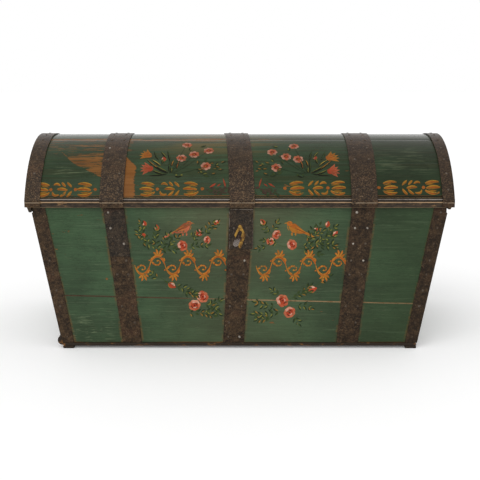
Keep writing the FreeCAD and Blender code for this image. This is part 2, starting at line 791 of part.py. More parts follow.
# Lock case, an open pan against the inside of the front with a slot for the tongue.
case_left = dims.lock_case_x - dims.lock_case_width / 2
case_right = dims.lock_case_x + dims.lock_case_width / 2
case_top = seam - dims.lock_case_drop
case_foot = case_top - dims.lock_case_height
tongue_front = inside_front + dims.tongue_setback
tongue_back = tongue_front + dims.tongue_depth
tongue_foot = lid_foot - dims.tongue_length
tongue_left = dims.lock_case_x - dims.tongue_thickness / 2
tongue_right = dims.lock_case_x + dims.tongue_thickness / 2
slot_left = tongue_left - dims.tongue_slot_gap
slot_right = tongue_right + dims.tongue_slot_gap
bolt_z = tongue_foot + dims.tongue_eye_rise + dims.tongue_eye / 2
bolt_y = (tongue_front + tongue_back) / 2
bolt_half = dims.bolt_side / 2
case = new_body("lock_case")
slab(case, "XZ_Plane", inside_front, case_back,
     rectangle(case_left, case_right, case_foot, case_top))
notch(case, "XZ_Plane", inside_front, case_back - dims.lock_case_wall, rectangle(
    case_left + dims.lock_case_wall, case_right - dims.lock_case_wall,
    case_foot + dims.lock_case_wall, case_top - dims.lock_case_wall))
notch(case, "XY_Plane", case_top - dims.lock_case_wall, case_top, rectangle(
    slot_left, slot_right, inside_front, tongue_back + dims.tongue_back_gap))
guide_left = slot_left - dims.guide_thickness
guide_foot = bolt_z - bolt_half - dims.bolt_gap - dims.guide_thickness
guide_top = bolt_z + bolt_half + dims.bolt_gap + dims.guide_thickness
for low in (guide_left, slot_right):
    slab(case, "YZ_Plane", low, low + dims.guide_thickness,
         rectangle(inside_front, case_back - dims.lock_case_wall, guide_foot, guide_top))
notch(case, "YZ_Plane", guide_left, slot_right + dims.guide_thickness, rectangle(
    bolt_y - bolt_half - dims.bolt_gap, bolt_y + bolt_half + dims.bolt_gap,
    bolt_z - bolt_half - dims.bolt_gap, bolt_z + bolt_half + dims.bolt_gap))

bolt = new_body("lock_bolt")
slab(bolt, "XZ_Plane", bolt_y - bolt_half, bolt_y + bolt_half, rectangle(
    slot_left - dims.bolt_length, slot_left, bolt_z - bolt_half, bolt_z + bolt_half))

# The lid's tongue drops through the slot of the case, and the bolt slides through its eye.
tongue = new_body("lid_lock_tongue")
slab(tongue, "YZ_Plane", tongue_left, tongue_right,
     rectangle(tongue_front, tongue_back, tongue_foot, board_foot))
slab(tongue, "XZ_Plane", inside_front, tongue_front, rectangle(
    dims.lock_case_x - dims.tongue_plate_width / 2,
    dims.lock_case_x + dims.tongue_plate_width / 2, lid_foot, board_foot))
notch(tongue, "YZ_Plane", tongue_left, tongue_right, rectangle(
    bolt_y - dims.tongue_eye / 2, bolt_y + dims.tongue_eye / 2,
    tongue_foot + dims.tongue_eye_rise, tongue_foot + dims.tongue_eye_rise + dims.tongue_eye))

# Drop handles on the leaning ends.
handle_z = seam - dims.handle_drop
eye_half = dims.handle_eye_width / 2
for side, word in ((-1, "left"), (1, "right")):
    plate = new_body(f"{word}_handle_plate")
    plate_low = handle_z - dims.handle_plate_half_height
    plate_high = handle_z + dims.handle_plate_half_height
    slab(plate, "XZ_Plane", -dims.handle_plate_half_length, dims.handle_plate_half_length,
         sided(side, [
             (end_x(plate_low), plate_low),
             (end_x(plate_low) + dims.handle_plate_thickness, plate_low),
             (end_x(plate_high) + dims.handle_plate_thickness, plate_high),
             (end_x(plate_high), plate_high)]))
    pivot = end_x(handle_z) + dims.handle_standoff
    for front in (-1, 1):
        middle = front * dims.handle_eye_spacing / 2
        rod(plate, "XZ_Plane", middle - eye_half, middle + eye_half,
            (side * pivot, handle_z), dims.handle_eye_radius)
        slab(plate, "XZ_Plane", middle - eye_half, middle + eye_half, sided(side, [
            (end_x(handle_z - dims.handle_eye_radius), handle_z - dims.handle_eye_radius),
            (pivot, handle_z - dims.handle_eye_radius),
            (pivot, handle_z + dims.handle_eye_radius),
            (end_x(handle_z + dims.handle_eye_radius), handle_z + dims.handle_eye_radius)]))
    eye_reach = dims.handle_eye_spacing / 2 + eye_half
    bore(plate, "XZ_Plane", -eye_reach, eye_reach,
         (side * pivot, handle_z), dims.bail_radius + dims.handle_bore_gap)

    bail = new_body(f"{word}_handle_bail")
    spine = new_sketch(bail, "YZ_Plane", side * pivot)
    pin_end = dims.bail_half_length + dims.bail_pin_length + dims.handle_eye_width
    route = [(pin_end, handle_z), (dims.bail_half_length, handle_z),
             (dims.bail_half_length, handle_z - dims.bail_drop),
             (-dims.bail_half_length, handle_z - dims.bail_drop),
             (-dims.bail_half_length, handle_z), (-pin_end, handle_z)]
    for start, end in zip(route, route[1:]):
        spine.addGeometry(Part.LineSegment(vector(*start), vector(*end)))
    for edge, corner in enumerate(route[:-1]):
        pin_point(spine, edge, 1, *corner)
        pin_point(spine, edge, 2, *route[edge + 1])
    profile = circle(bail, "XZ_Plane", pin_end, (side * pivot, handle_z), dims.bail_radius)
    document.recompute()
    pipe = bail.newObject("PartDesign::AdditivePipe", bail.Name + "_bar")
    pipe.Profile = profile
    pipe.Spine = (spine, [])
    pipe.Transition = "Round corner"


# Nails: forged heads, low pyramids seated on the iron that they hold.
quarter = Size("90", 90)


def turned(axis, angle):
    return f"rotation(vector({axis}); {as_size(angle).text})"


def facing(angle):
    """Points a nail out of the dome, the front or the back, by its angle from the crown."""
    return turned("1; 0; 0", quarter - angle)


def sideways(side, lean):
    """Points a nail out of one end of the trunk."""
    return turned("0; 1; 0", side * lean) + " * " + turned("0; 0; 1", -side * quarter)


def nail(group, place, direction):
    """A nail head whose flat underside sits at this place."""
    head = document.addObject("Part::Wedge", group + "_head")
    half = dims.nail_width / 2
    crown = half * NAIL_CROWN_SHARE
    for axis in "XZ":
        bind(head, f"{axis}min", -half)
        bind(head, f"{axis}max", half)
        bind(head, f"{axis}2min", -crown)
        bind(head, f"{axis}2max", crown)
    bind(head, "Ymin", 0)
    bind(head, "Ymax", dims.nail_head_height)
    spot = "; ".join(size.text for size in place)
    head.setExpression("Placement", f"placement(vector({spot}); {direction})")
    return head


def nail_group(label, heads):
    group = document.addObject("Part::Compound", label)
    group.Label = label
    group.Links = heads
    nodes.append(group)


outwards_front = facing(-quarter)
outwards_back = facing(quarter)
wall_heights = [between(strap_foot, strap_head, share) for share in WALL_NAIL_SHARES]

front_heads = []
for word, strap in front_straps.items():
    for height in wall_heights:
        face = strap_face
        if word == "left" and height.value > patch_foot.value:
            face = patch_face
        if word == "centre" and height.value > (seam - dims.lock_plate_foot).value:
            face = plate_face
        for side in (-1, 1):
            middle = strap.centre(height) + side * strap.half(height) * 2 * STRAP_NAIL_SHARE
            if height.value < (seam - dims.lock_plate_top).value:
                front_heads.append(nail("front", (middle, face, height), outwards_front))
for side in (-1, 1):
    for height in wall_heights:
        middle = side * (end_x(height) - dims.corner_strap_front / 2)
        front_heads.append(nail("front", (middle, strap_face, height), outwards_front))
nail_group("front_nails", front_heads)

back_heads = []
back_columns = [(middle + side * width * STRAP_NAIL_SHARE)
                for middle, width in hinge_places.values() for side in (-1, 1)]
back_columns += [dims.centre_strap_foot + side * dims.centre_strap_foot_width
                 * STRAP_NAIL_SHARE for side in (-1, 1)]
for height in wall_heights[:-1]:
    for middle in back_columns:
        back_heads.append(nail("back", (middle, strap_back, height), outwards_back))
    for side in (-1, 1):
        middle = side * (end_x(height) - dims.corner_strap_front / 2)
        back_heads.append(nail("back", (middle, strap_back, height), outwards_back))
nail_group("back_nails", back_heads)

end_heads = []
for side in (-1, 1):
    outwards = sideways(side, wall_lean)
    for height in wall_heights[:-1]:
        for middle in (corner_front_end - dims.corner_strap_side / 2,
                       corner_back_end + dims.corner_strap_side / 2):
            place = (side * (end_x(height) + dims.strap_thickness), middle, height)
            if side > 0 or (height - dims.nail_width).value > batten_top.value:
                end_heads.append(nail("end", place, outwards))
    for front in (-1, 1):
        for up in (-1, 1):
            middle = front * dims.handle_plate_half_length * HANDLE_NAIL_SHARE
            height = handle_z + up * dims.handle_plate_half_height / 2
            place = (side * (end_x(height) + dims.handle_plate_thickness), middle, height)
            end_heads.append(nail("end", place, outwards))
nail_group("end_nails", end_heads)

lid_heads = []
for share in DOME_NAIL_SHARES:
    angle = dims.dome_angle * share
    place_y, place_z = on_dome(strap_radius, angle)
    skew = dims.lid_centre_strap + dims.lid_centre_strap_lean * (place_y - front_edge)
    columns = [middle + side * width * STRAP_NAIL_SHARE
               for middle, width in (*hinge_places.values(),
                                     (skew, dims.lid_centre_strap_width))
               for side in (-1, 1)]
    columns += [-(outside - dims.left_end_strap / 2), outside - dims.right_end_strap / 2]
    for middle in columns:
        lid_heads.append(nail("lid", (middle, place_y, place_z), facing(angle)))
for share in FLANGE_NAIL_SHARES:
    angle = dims.dome_angle * share
    place_y, place_z = on_dome(strap_radius - dims.end_flange_depth / 2, angle)
    for side in (-1, 1):
        lid_heads.append(nail("lid", (side * outside, place_y, place_z), sideways(side, 0)))
nail_group("lid_nails", lid_heads)

# Every piece is built, checked and written to its own file.
document.recompute()
for item in document.Objects:
    if "Invalid" in item.State or "Error" in item.State:
        raise RuntimeError(f"{item.Name} did not build: {item.State}")
for item in document.Objects:
    if item.TypeId == "PartDesign::Pocket":
        before = item.BaseFeature.Shape.Volume
        if before - item.Shape.Volume < before * 1e-7:
            raise RuntimeError(f"{item.Name} cuts nothing")
os.makedirs("parts", exist_ok=True)
for node in nodes:
    if node.Shape.isNull() or not node.Shape.isValid():
        raise RuntimeError(f"{node.Label} has no sound shape")
    print(node.Label, len(node.Shape.Solids), round(node.Shape.Volume))
for node in nodes:
    node.Shape.exportStep(f"parts/{node.Label}.step")
print(len(nodes), "pieces")
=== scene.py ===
# %% [markdown]
# A painted trunk: a box of pine boards that leans outwards, a coopered dome lid,
# and bands of forged iron that lap both. The CAD model holds every piece at its
# real place. It could be shown as it is, with flat colours, but then each board
# would look cast in plastic. So this lesson reworks a copy of each piece: it
# softens edges, makes the iron uneven, and paints the flowers stroke by stroke.

# %% The frame and the tools
import json
import math
import random

import bmesh
import bpy
from mathutils import Matrix, Vector, noise


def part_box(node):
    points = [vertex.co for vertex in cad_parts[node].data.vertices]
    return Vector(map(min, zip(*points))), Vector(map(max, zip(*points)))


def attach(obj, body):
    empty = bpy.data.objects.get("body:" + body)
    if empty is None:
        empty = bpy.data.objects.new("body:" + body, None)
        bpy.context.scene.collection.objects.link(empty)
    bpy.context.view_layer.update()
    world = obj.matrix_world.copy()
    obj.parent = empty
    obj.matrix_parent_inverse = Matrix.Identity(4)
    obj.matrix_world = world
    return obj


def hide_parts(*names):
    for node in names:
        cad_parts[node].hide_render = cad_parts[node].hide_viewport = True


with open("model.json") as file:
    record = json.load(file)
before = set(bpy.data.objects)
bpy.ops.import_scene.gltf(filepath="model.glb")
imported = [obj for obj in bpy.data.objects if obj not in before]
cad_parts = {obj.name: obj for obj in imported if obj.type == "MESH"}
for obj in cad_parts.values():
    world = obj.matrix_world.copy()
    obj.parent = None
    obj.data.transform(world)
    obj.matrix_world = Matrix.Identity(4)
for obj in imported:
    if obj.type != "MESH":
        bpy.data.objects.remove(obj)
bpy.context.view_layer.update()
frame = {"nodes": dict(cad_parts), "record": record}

MM = 0.001

# %% [markdown]
# The camera comes first, so that every later choice can be judged through it.
# The photograph looks down on the trunk by thirteen degrees, from straight in
# front of it. The lens is given by its length in millimetres on a 36 mm sensor.
# It and the distance together set how much smaller the back looks than the front.

# %% The camera
LENS = 66.975
SENSOR_WIDTH = 36
CAMERA_PLACE = (0.0012, -2.8788, 0.9471)
LOOKING_DOWN = 13

camera_data = bpy.data.cameras.new("studio_camera")
camera_data.sensor_width = SENSOR_WIDTH
camera_data.lens = LENS
camera = bpy.data.objects.new("studio_camera", camera_data)
camera.location = CAMERA_PLACE
camera.rotation_euler = (math.radians(90 - LOOKING_DOWN), 0, 0)
bpy.context.scene.collection.objects.link(camera)
bpy.context.scene.camera = camera
bpy.context.scene.view_settings.view_transform = "Standard"
print("camera at", CAMERA_PLACE, "looking down by", LOOKING_DOWN, "degrees")

# %% [markdown]
# Shader maths reads better as Python than as a list of nodes and links. Shade
# wraps one output socket, and each operator adds the Math node that it stands
# for. Colours don't pass through Math nodes, which would turn them grey, so they
# are mixed with Mix nodes instead.


# %% Shader maths as Python
class Shade:
    """The output of a shader node, with Python's operators for its maths."""

    def __init__(self, finish, socket):
        self.finish = finish
        self.socket = socket

    def __add__(self, other):
        return self.finish.math("ADD", self, other)

    def __sub__(self, other):
        return self.finish.math("SUBTRACT", self, other)

    def __rsub__(self, other):
        return self.finish.math("SUBTRACT", other, self)

    def __mul__(self, other):
        return self.finish.math("MULTIPLY", self, other)

    def __abs__(self):
        return self.finish.math("ABSOLUTE", self)

    __radd__ = __add__
    __rmul__ = __mul__


print("operators that shader values take: + - * and abs")

# %% A finish under construction
VARNISH_IOR = 1.13


class Finish:
    """A material under construction."""

    def __init__(self, name):
        self.material = bpy.data.materials.new(name)
        self.material.use_nodes = True
        self.tree = self.material.node_tree
        self.shader = self.tree.nodes["Principled BSDF"]
        self.point = self.node("ShaderNodeTexCoord", {}, {}, "Object")
        parts = self.node("ShaderNodeSeparateXYZ", {}, {0: self.point}, None)
        self.x, self.y, self.z = (Shade(self, socket) for socket in parts.outputs)

    def node(self, kind, settings, values, output=0):
        """Adds a node: its settings first, then the values or links of its sockets."""
        node = self.tree.nodes.new(kind)
        for name, value in settings.items():
            setattr(node, name, value)
        for name, value in values.items():
            self.feed(node.inputs[name], value)
        return node if output is None else Shade(self, node.outputs[output])

    def feed(self, socket, value):
        if isinstance(value, Shade):
            self.tree.links.new(value.socket, socket)
        else:
            socket.default_value = value

    def math(self, operation, *values):
        return self.node("ShaderNodeMath", {"operation": operation}, dict(enumerate(values)))

    def highest(self, first, *others):
        """The greatest of two or more values."""
        for other in others:
            first = self.math("MAXIMUM", first, other)
        return first

    def step(self, value, low, high):
        """0 below low, 1 above high and a soft rise between them."""
        return self.node("ShaderNodeMapRange", {"interpolation_type": "SMOOTHSTEP"},
                         {0: value, 1: low, 2: high})

    def within(self, value, low, high, soft):
        """1 between low and high, and 0 outside them."""
        return (self.step(value, low - soft, low + soft)
                * (1 - self.step(value, high - soft, high + soft)))

    def mix(self, first, second, factor):
        """Goes from the first colour to the second as the factor goes from 0 to 1."""
        return self.node("ShaderNodeMix", {"data_type": "RGBA"},
                         {0: factor, 6: first, 7: second}, 2)

    def layered(self, colour, *coats):
        """Lays coats over a colour in turn. Each is a colour and how much it covers."""
        for coat, cover in coats:
            colour = self.mix(colour, coat, cover)
        return colour

    def grains(self, across, detail=3.0, roughness=0.55, centre=(0, 0, 0)):
        """Noise in cells that are one over these numbers of metres wide."""
        placed = self.node("ShaderNodeMapping", {}, {
            "Vector": self.point, "Location": centre, "Scale": across})
        return self.node("ShaderNodeTexNoise", {}, {
            "Vector": placed, "Scale": 1.0, "Detail": detail, "Roughness": roughness})

    def done(self, colour, roughness, height, relief=0.4, metallic=0.0, gloss=0.5):
        """Joins the colour, the roughness and the height in metres to the shader."""
        bump = self.node("ShaderNodeBump", {}, {
            "Strength": relief, "Distance": 1.0, "Height": height})
        self.feed(self.shader.inputs["Base Color"], colour)
        self.feed(self.shader.inputs["Roughness"], roughness)
        self.feed(self.shader.inputs["Metallic"], metallic)
        self.feed(self.shader.inputs["Normal"], bump)
        self.shader.inputs["Specular IOR Level"].default_value = gloss
        return self.material


    def varnish(self, weight, roughness):
        """A thin clear coat over the whole finish."""
        for socket, value in (("Coat Weight", weight), ("Coat IOR", VARNISH_IOR),
                              ("Coat Roughness", roughness)):
            self.shader.inputs[socket].default_value = value


print("varnish bends light by", VARNISH_IOR)


# %% Colours as they are seen
def pigment(red, green, blue):
    """A colour as it is seen, 0 to 255, in the linear light that shaders work in."""
    seen = (red / 255, green / 255, blue / 255)
    return (*((value / 12.92 if value < 0.04045 else ((value + 0.055) / 1.055) ** 2.4)
              for value in seen), 1.0)


print("a seen mid grey is", round(pigment(128, 128, 128)[0], 3), "in linear light")

# %% [markdown]
# The studio is a pale floor under an even sky, with one large soft lamp up to
# the left. A small bright lamp would draw hard shadows that the photograph
# doesn't have. The sky shows white to the camera and in reflections, but lights
# the trunk more gently, so that nothing clips.

# %% The floor
FLOOR_REACH = 12
FLOOR_LIT = (0.80, 0.80, 0.80, 1)
FLOOR_SEEN = (0.97, 0.97, 0.97, 1)
FLOOR_GLOW = (0.11, 0.11, 0.11, 1)


def studio_floor():
    """A wide pale floor. The camera alone sees it nearly white and glowing a little."""
    plane = bmesh.new()
    bmesh.ops.create_grid(plane, x_segments=8, y_segments=8, size=FLOOR_REACH)
    mesh = bpy.data.meshes.new("studio_floor")
    plane.to_mesh(mesh)
    plane.free()
    floor = bpy.data.objects.new("studio_floor", mesh)
    bpy.context.scene.collection.objects.link(floor)
    paint = Finish("studio_floor_paint")
    seen = paint.node("ShaderNodeLightPath", {}, {}, "Is Camera Ray")
    soft = paint.grains((3, 3, 3), 2.0)
    paint.feed(paint.shader.inputs["Emission Color"], paint.mix((0, 0, 0, 1), FLOOR_GLOW, seen))
    paint.shader.inputs["Emission Strength"].default_value = 1.0
    mesh.materials.append(paint.done(paint.mix(FLOOR_LIT, FLOOR_SEEN, seen),
                                     0.9 + 0.05 * soft, soft * 0.0001, 0.1, gloss=0.1))


studio_floor()
print("floor reaches", FLOOR_REACH, "metres each way")

# %% The sky
SKY_LIGHT = 0.78


def studio_sky():
    """An even sky: white to the camera and in reflections, dimmer as a light."""
    world = bpy.data.worlds.new("studio_sky")
    world.use_nodes = True
    nodes, links = world.node_tree.nodes, world.node_tree.links
    light, shown = nodes["Background"], nodes.new("ShaderNodeBackground")
    for sky, strength in ((light, SKY_LIGHT), (shown, 1.0)):
        sky.inputs["Color"].default_value = (1, 1, 1, 1)
        sky.inputs["Strength"].default_value = strength
    path = nodes.new("ShaderNodeLightPath")
    either = nodes.new("ShaderNodeMath")
    either.operation = "MAXIMUM"
    choose = nodes.new("ShaderNodeMixShader")
    for output, socket in ((path.outputs["Is Camera Ray"], either.inputs[0]),
                           (path.outputs["Is Glossy Ray"], either.inputs[1]),
                           (either.outputs[0], choose.inputs[0]),
                           (light.outputs[0], choose.inputs[1]),
                           (shown.outputs[0], choose.inputs[2]),
                           (choose.outputs[0], nodes["World Output"].inputs["Surface"])):
        links.new(output, socket)
    bpy.context.scene.world = world


studio_sky()
print("sky lights at", SKY_LIGHT)

# %% The lamp
LAMP_LIGHT = 0.85
LAMP_SPREAD = 50
LAMP_TILT, LAMP_TURN = 42, -24


def studio_lamp():
    """One broad lamp, up to the left and in front."""
    lamp = bpy.data.lights.new("soft_lamp", "SUN")
    lamp.energy = LAMP_LIGHT
    lamp.angle = math.radians(LAMP_SPREAD)
    holder = bpy.data.objects.new("soft_lamp", lamp)
    holder.rotation_euler = (math.radians(LAMP_TILT), 0, math.radians(LAMP_TURN))
    bpy.context.scene.collection.objects.link(holder)


studio_lamp()
print("lamp lights at", LAMP_LIGHT)

# %% [markdown]
# The wear follows the trunk's shape, so its finishes need a few sizes, read from
# the CAD model. The dome is an arc of a circle. Its crown is as high as the middle
# stave, and its half width and the angle that it spans give the radius.

# %% Sizes that the finishes need
WALL_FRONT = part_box("front_board_upper")[0].y
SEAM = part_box("front_board_upper")[1].z
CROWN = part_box("lid_stave_3")[1].z
DOME_ANGLE = math.radians(61.5)
DOME_HALF_WIDTH = 0.2645
DOME_RADIUS = DOME_HALF_WIDTH / math.sin(DOME_ANGLE)
DOME_Y = -0.002
DOME_Z = CROWN - DOME_RADIUS
STAVE_SHARES = (-1, -0.62, -0.22, 0.22, 0.62, 1)  # the seams, in shares of the angle
print("wall front", round(WALL_FRONT, 4), "seam", round(SEAM, 4), "dome centre",
      round(DOME_Z, 4))

# %% [markdown]
# Under all the paint is pine, and it shows wherever paint has gone. Its grain is
# noise that is stretched along the board, because a board is cut along the tree.

# %% Bare pine
BARE = pigment(136, 94, 50)
BARE_DARK = pigment(92, 62, 33)
STAIN = pigment(52, 38, 24)


def bare_wood(finish):
    """Pine that has darkened: long grain, a few stains."""
    grain = finish.grains((7, 160, 160), 5.0, 0.6)
    rings = finish.grains((2.2, 26, 26), 2.0, 0.5, (3, 1, 2))
    stain = finish.grains((5, 5, 9), 3.0, 0.5, (7, 7, 7))
    wood = finish.layered(BARE_DARK, (BARE, finish.step(grain * 0.6 + rings * 0.5, 0.35, 0.75)),
                          (STAIN, finish.step(stain, 0.52, 0.8) * 0.7))
    return wood, grain


print("bare pine in linear light:", [round(value, 3) for value in BARE[:3]])

# %% [markdown]
# The green is a thin distemper. It isn't one green: it lies in long streaks along
# the boards, and it has browned in places. A picture of old paint would do on one
# board only, so the streaks are stretched noise too. Each finer noise adds a coat
# that covers a little: clouds, streaks, the hairs of the brush, and flecks.

# %% Green paint
GREEN = pigment(64, 88, 60)
GREEN_DARK = pigment(48, 66, 44)
GREEN_PALE = pigment(94, 114, 84)
GREEN_BROWN = pigment(58, 63, 39)


def green_paint(finish, tone):
    """The green itself. tone runs from 0, fresh, to 1, browned."""
    streak = finish.grains((3.5, 90, 90), 4.0, 0.6)
    hair = finish.grains((12, 300, 300), 3.0, 0.6, (4, 4, 1))
    cloud = finish.grains((5, 9, 9), 3.0, 0.5, (2, 5, 1))
    fleck = finish.grains((90, 420, 420), 2.0, 0.6, (1, 1, 4))
    green = finish.layered(
        GREEN, (GREEN_DARK, finish.step(streak * 0.35 + cloud * 0.75, 0.38, 0.68)),
        (GREEN_BROWN, tone), (GREEN_PALE, finish.step(streak, 0.54, 0.74) * 0.38),
        (GREEN_DARK, finish.step(0.5 - hair, 0.02, 0.16) * 0.40),
        (GREEN_PALE, finish.step(hair, 0.56, 0.70) * 0.18),
        (GREEN_DARK, finish.step(fleck, 0.52, 0.68) * 0.35))
    return green, streak, fleck


print("green in linear light:", [round(value, 3) for value in GREEN[:3]])

# %% [markdown]
# Paint is lost where it was knocked or rubbed. One value, wear, says where: it
# picks the wood over the green, lays a dark rim where the paint is thin, and drops
# the surface by the thickness of the paint. So one function serves every board.

# %% Worn paint
CRACK = pigment(30, 36, 22)
SCRATCH = pigment(112, 124, 92)
THIN_RIM = pigment(50, 40, 24)


def crackle(finish):
    """Fine dark cracks along the grain, 1 in a crack."""
    bent = finish.grains((20, 20, 20), 2.0, 0.5, (3, 9, 3))
    cells = finish.grains((34, 520, 520), 3.0, 0.6, (0, 4, 2))
    return finish.step(0.06 - abs(cells - 0.5), 0.030, 0.056) * finish.step(bent, 0.42, 0.60)


def scratches(finish):
    """Long thin scratches, as noise that its users cut off at their own depth."""
    return finish.grains((26, 240, 240), 4.0, 0.65, (7, 3, 1))


def chips(finish, amount):
    """Scattered small losses of paint, 1 where the paint has gone."""
    size = finish.grains((26, 70, 70), 4.0, 0.62, (9, 2, 3))
    place = finish.grains((3, 4, 4), 2.0, 0.5, (4, 4, 8))
    return finish.step(size * 0.75 + place * 0.25, 0.63 - amount, 0.67 - amount)


def worn_paint(finish, wear, tone, scuff, over=(), gloss=0.22):
    """Green paint that has gone where wear is 1, and is scratched where scuff is 1.
    over holds the coats that lie on it all."""
    wood, grain = bare_wood(finish)
    green, streak, fleck = green_paint(finish, tone)
    crack = crackle(finish)
    gone = finish.step(wear, 0.42, 0.58)
    colour = finish.layered(green, (CRACK, crack * 0.55), (SCRATCH, scuff),
                            (THIN_RIM, finish.within(wear, 0.2, 0.55, 0.12) * 0.6),
                            (wood, gone), *over)
    rough = 0.42 + 0.20 * finish.step(wear, 0.4, 0.6) + 0.16 * fleck
    height = (streak * 0.00025 + fleck * 0.00007 + grain * 0.0002 - crack * 0.0002
              - gone * 0.00025)
    return finish.done(colour, rough, height, 0.6, gloss=gloss)


print("wear has a rim, cracks and chips")

# %% [markdown]
# The front's own marks: rust has crept out beside the straps, which lean, so each
# strap's edge is a line between two points. The joint of the two planks isn't
# level. It is a dull brown line at the left and catches the light at the right.
# The foot is rubbed, the lower left is scuffed, and one round chip stands alone.

# %% Front boards
JOINT_HEIGHT = 0.15553  # of the planks' joint at the trunk's middle
JOINT_FALL = 0.02456  # for each metre to the right
CHIP = (-0.404, WALL_FRONT, 0.221)
STRAP_FOOT = 0.023
STRAP_LINES = (  # each strap's two edges: x at the seam and x at its foot
    (-0.4100, -0.3611), (-0.3460, -0.3021), (-0.0295, -0.0504), (0.0415, 0.0136),
    (0.3365, 0.2996), (0.4055, 0.3661), (-0.5883, -0.5114), (0.5883, 0.5114))
RUSTY = pigment(104, 80, 46)
GRIME = pigment(44, 42, 26)
JOINT_BROWN = pigment(56, 40, 25)
JOINT_TAN = pigment(176, 146, 108)
SHADED = (0.002, 0.025, 0.001, 1)
FADED = pigment(150, 140, 104)


def beside_straps(finish, reach):
    """1 on the wood close to a strap's edge, where rust and dirt have crept out."""
    near = None
    for top, foot in STRAP_LINES:
        lean = (top - foot) / (SEAM - STRAP_FOOT)
        gap = abs(finish.x - (top - SEAM * lean) - finish.z * lean)
        near = gap if near is None else finish.math("MINIMUM", near, gap)
    return 1 - finish.step(near, reach * 0.35, reach)


def front_green():
    """The front boards' paint, with all of its marks."""
    finish = Finish("front_green")
    ragged = finish.grains((60, 160, 160), 4.0, 0.6, (5, 5, 5))
    wobble = finish.grains((9, 9, 9), 3.0, 0.6) * 0.006 - 0.003
    scrape = scratches(finish)
    patchy = finish.step(finish.grains((14, 14, 14), 3.0, 0.6, (9, 2, 2)), 0.46, 0.58)
    tone = (finish.step(finish.x, 0.2, 0.5) * 0.30
            + finish.step(0.20 - finish.z, -0.05, 0.2) * 0.15)
    joint = abs(finish.z - (JOINT_HEIGHT - finish.x * JOINT_FALL) + wobble * 0.2)
    narrow = finish.step(0 - finish.x, 0.04, 0.16) * 0.0013
    line = 1 - finish.step(joint + ragged * 0.0020 + narrow, 0.0020, 0.0034)
    foot = 1 - finish.step(finish.z + wobble, 0.0160, 0.0205)
    low_left = (finish.step(-0.40 - finish.x, -0.06, 0.05)
                * (1 - finish.step(finish.z, 0.05, 0.15)))
    chip = 1 - finish.step(finish.node("ShaderNodeVectorMath", {"operation": "DISTANCE"}, {
        0: finish.point, 1: CHIP}, "Value"), 0.0025, 0.0045)
    wear = finish.highest(line * 0.62, foot, chips(finish, low_left * 0.03 - 0.03), chip)
    scuff = (finish.step(scrape, 0.52, 0.60) * low_left * patchy * 0.60
             + finish.step(scrape, 0.60, 0.68) * 0.20)
    rust = (beside_straps(finish, 0.0085) * finish.step(ragged, 0.34, 0.56)
            * finish.step(finish.grains((7, 7, 14), 3.0, 0.6, (3, 3, 1)), 0.40, 0.56))
    grime = finish.step(0.5 - scrape, 0.05, 0.11) * low_left * patchy
    dull = (1 - finish.step(joint, 0.0016, 0.0027)) * (1 - finish.step(finish.x, -0.22, -0.10))
    lit = ((1 - finish.step(abs(joint - 0.0010), 0.0002, 0.0008))
           * (0.15 + 0.85 * finish.step(finish.x, -0.15, -0.02))
           * finish.step(ragged, 0.30, 0.5))
    split = 1 - finish.step(joint, 0.0002, 0.0007)
    high = finish.step(finish.z, 0.20, 0.42)
    shaded = (finish.step(finish.x, 0.26, 0.50) * 0.26
              + finish.step(0 - finish.x, 0.40, 0.54) * high * 0.16)
    faded = 1 - finish.step(abs(finish.x + 0.01) + patchy * 0.03, 0.05, 0.36)
    return worn_paint(finish, wear, tone, scuff, (
        (RUSTY, rust * 0.75), (GRIME, grime * 0.7), (JOINT_BROWN, dull * 0.95),
        (JOINT_TAN, lit), (STAIN, split * 0.7), (SHADED, shaded),
        (FADED, faded * (0.45 + high * 0.55) * 0.16)))


FRONT_GREEN = front_green()
print(FRONT_GREEN.name, "has", len(FRONT_GREEN.node_tree.nodes), "nodes")


# %% Ends and back
def side_green(name, amount):
    """The same green, plainer and more chipped."""
    finish = Finish(name)
    tone = finish.step(0.30 - finish.z, -0.2, 0.3) * 0.6 + 0.15
    foot = 1 - finish.step(finish.z, 0.018, 0.026)
    scrape = scratches(finish)
    return worn_paint(finish, finish.highest(foot, chips(finish, amount - 0.02)), tone,
                      finish.step(scrape, 0.57, 0.66) * 0.4)


END_GREEN = side_green("end_green", 0.02)
BACK_GREEN = side_green("back_green", 0.035)
print("greens:", FRONT_GREEN.name, END_GREEN.name, BACK_GREEN.name)

# %% [markdown]
# The lid's green has been scraped: a wedge of bare wood widens towards the left
# strap and goes on behind it, and dry streaks run along the seams near the crown.
# Each scrape is a few lines that bound it, in distance along the lid and up its
# curve, with noise on the lines so that they fray along the grain. The lid has
# been varnished, so it gets a coat, which shines where it is seen at a slant.

# %% The lid's green and its scrapes
WEDGE_LEFT, WEDGE_RIGHT = -0.562, -0.365
BLOCK_LEFT, BLOCK_RIGHT = -0.375, -0.314
LID_SHADE = (0.008, 0.007, 0.004, 1)
LID_BARE = pigment(150, 92, 38)
LID_OCHRE = pigment(128, 104, 52)


def bare_wedge(finish, up, fray, fine):
    """The scraped wedge: its foot is a bent line and its head a nearly level one."""
    rise = up + fray * 0.012 + fine * 0.012
    away = finish.x + 0.503
    foot = finish.highest(0.119 - away * 1.17, 0.119 - away * 0.60)
    head = finish.highest(0.157 + (finish.x + 0.486) * 0.10 + fray * 0.05, foot + 0.006)
    return (finish.within(finish.x + fray * 0.02, WEDGE_LEFT, WEDGE_RIGHT, 0.003)
            * finish.step(rise - foot, -0.0015, 0.0015)
            * finish.step(head - rise, -0.002, 0.004)
            * finish.step(fine * 1.2 + fray * 0.8 - up * 1.5 + 0.235, -0.03, 0.02))


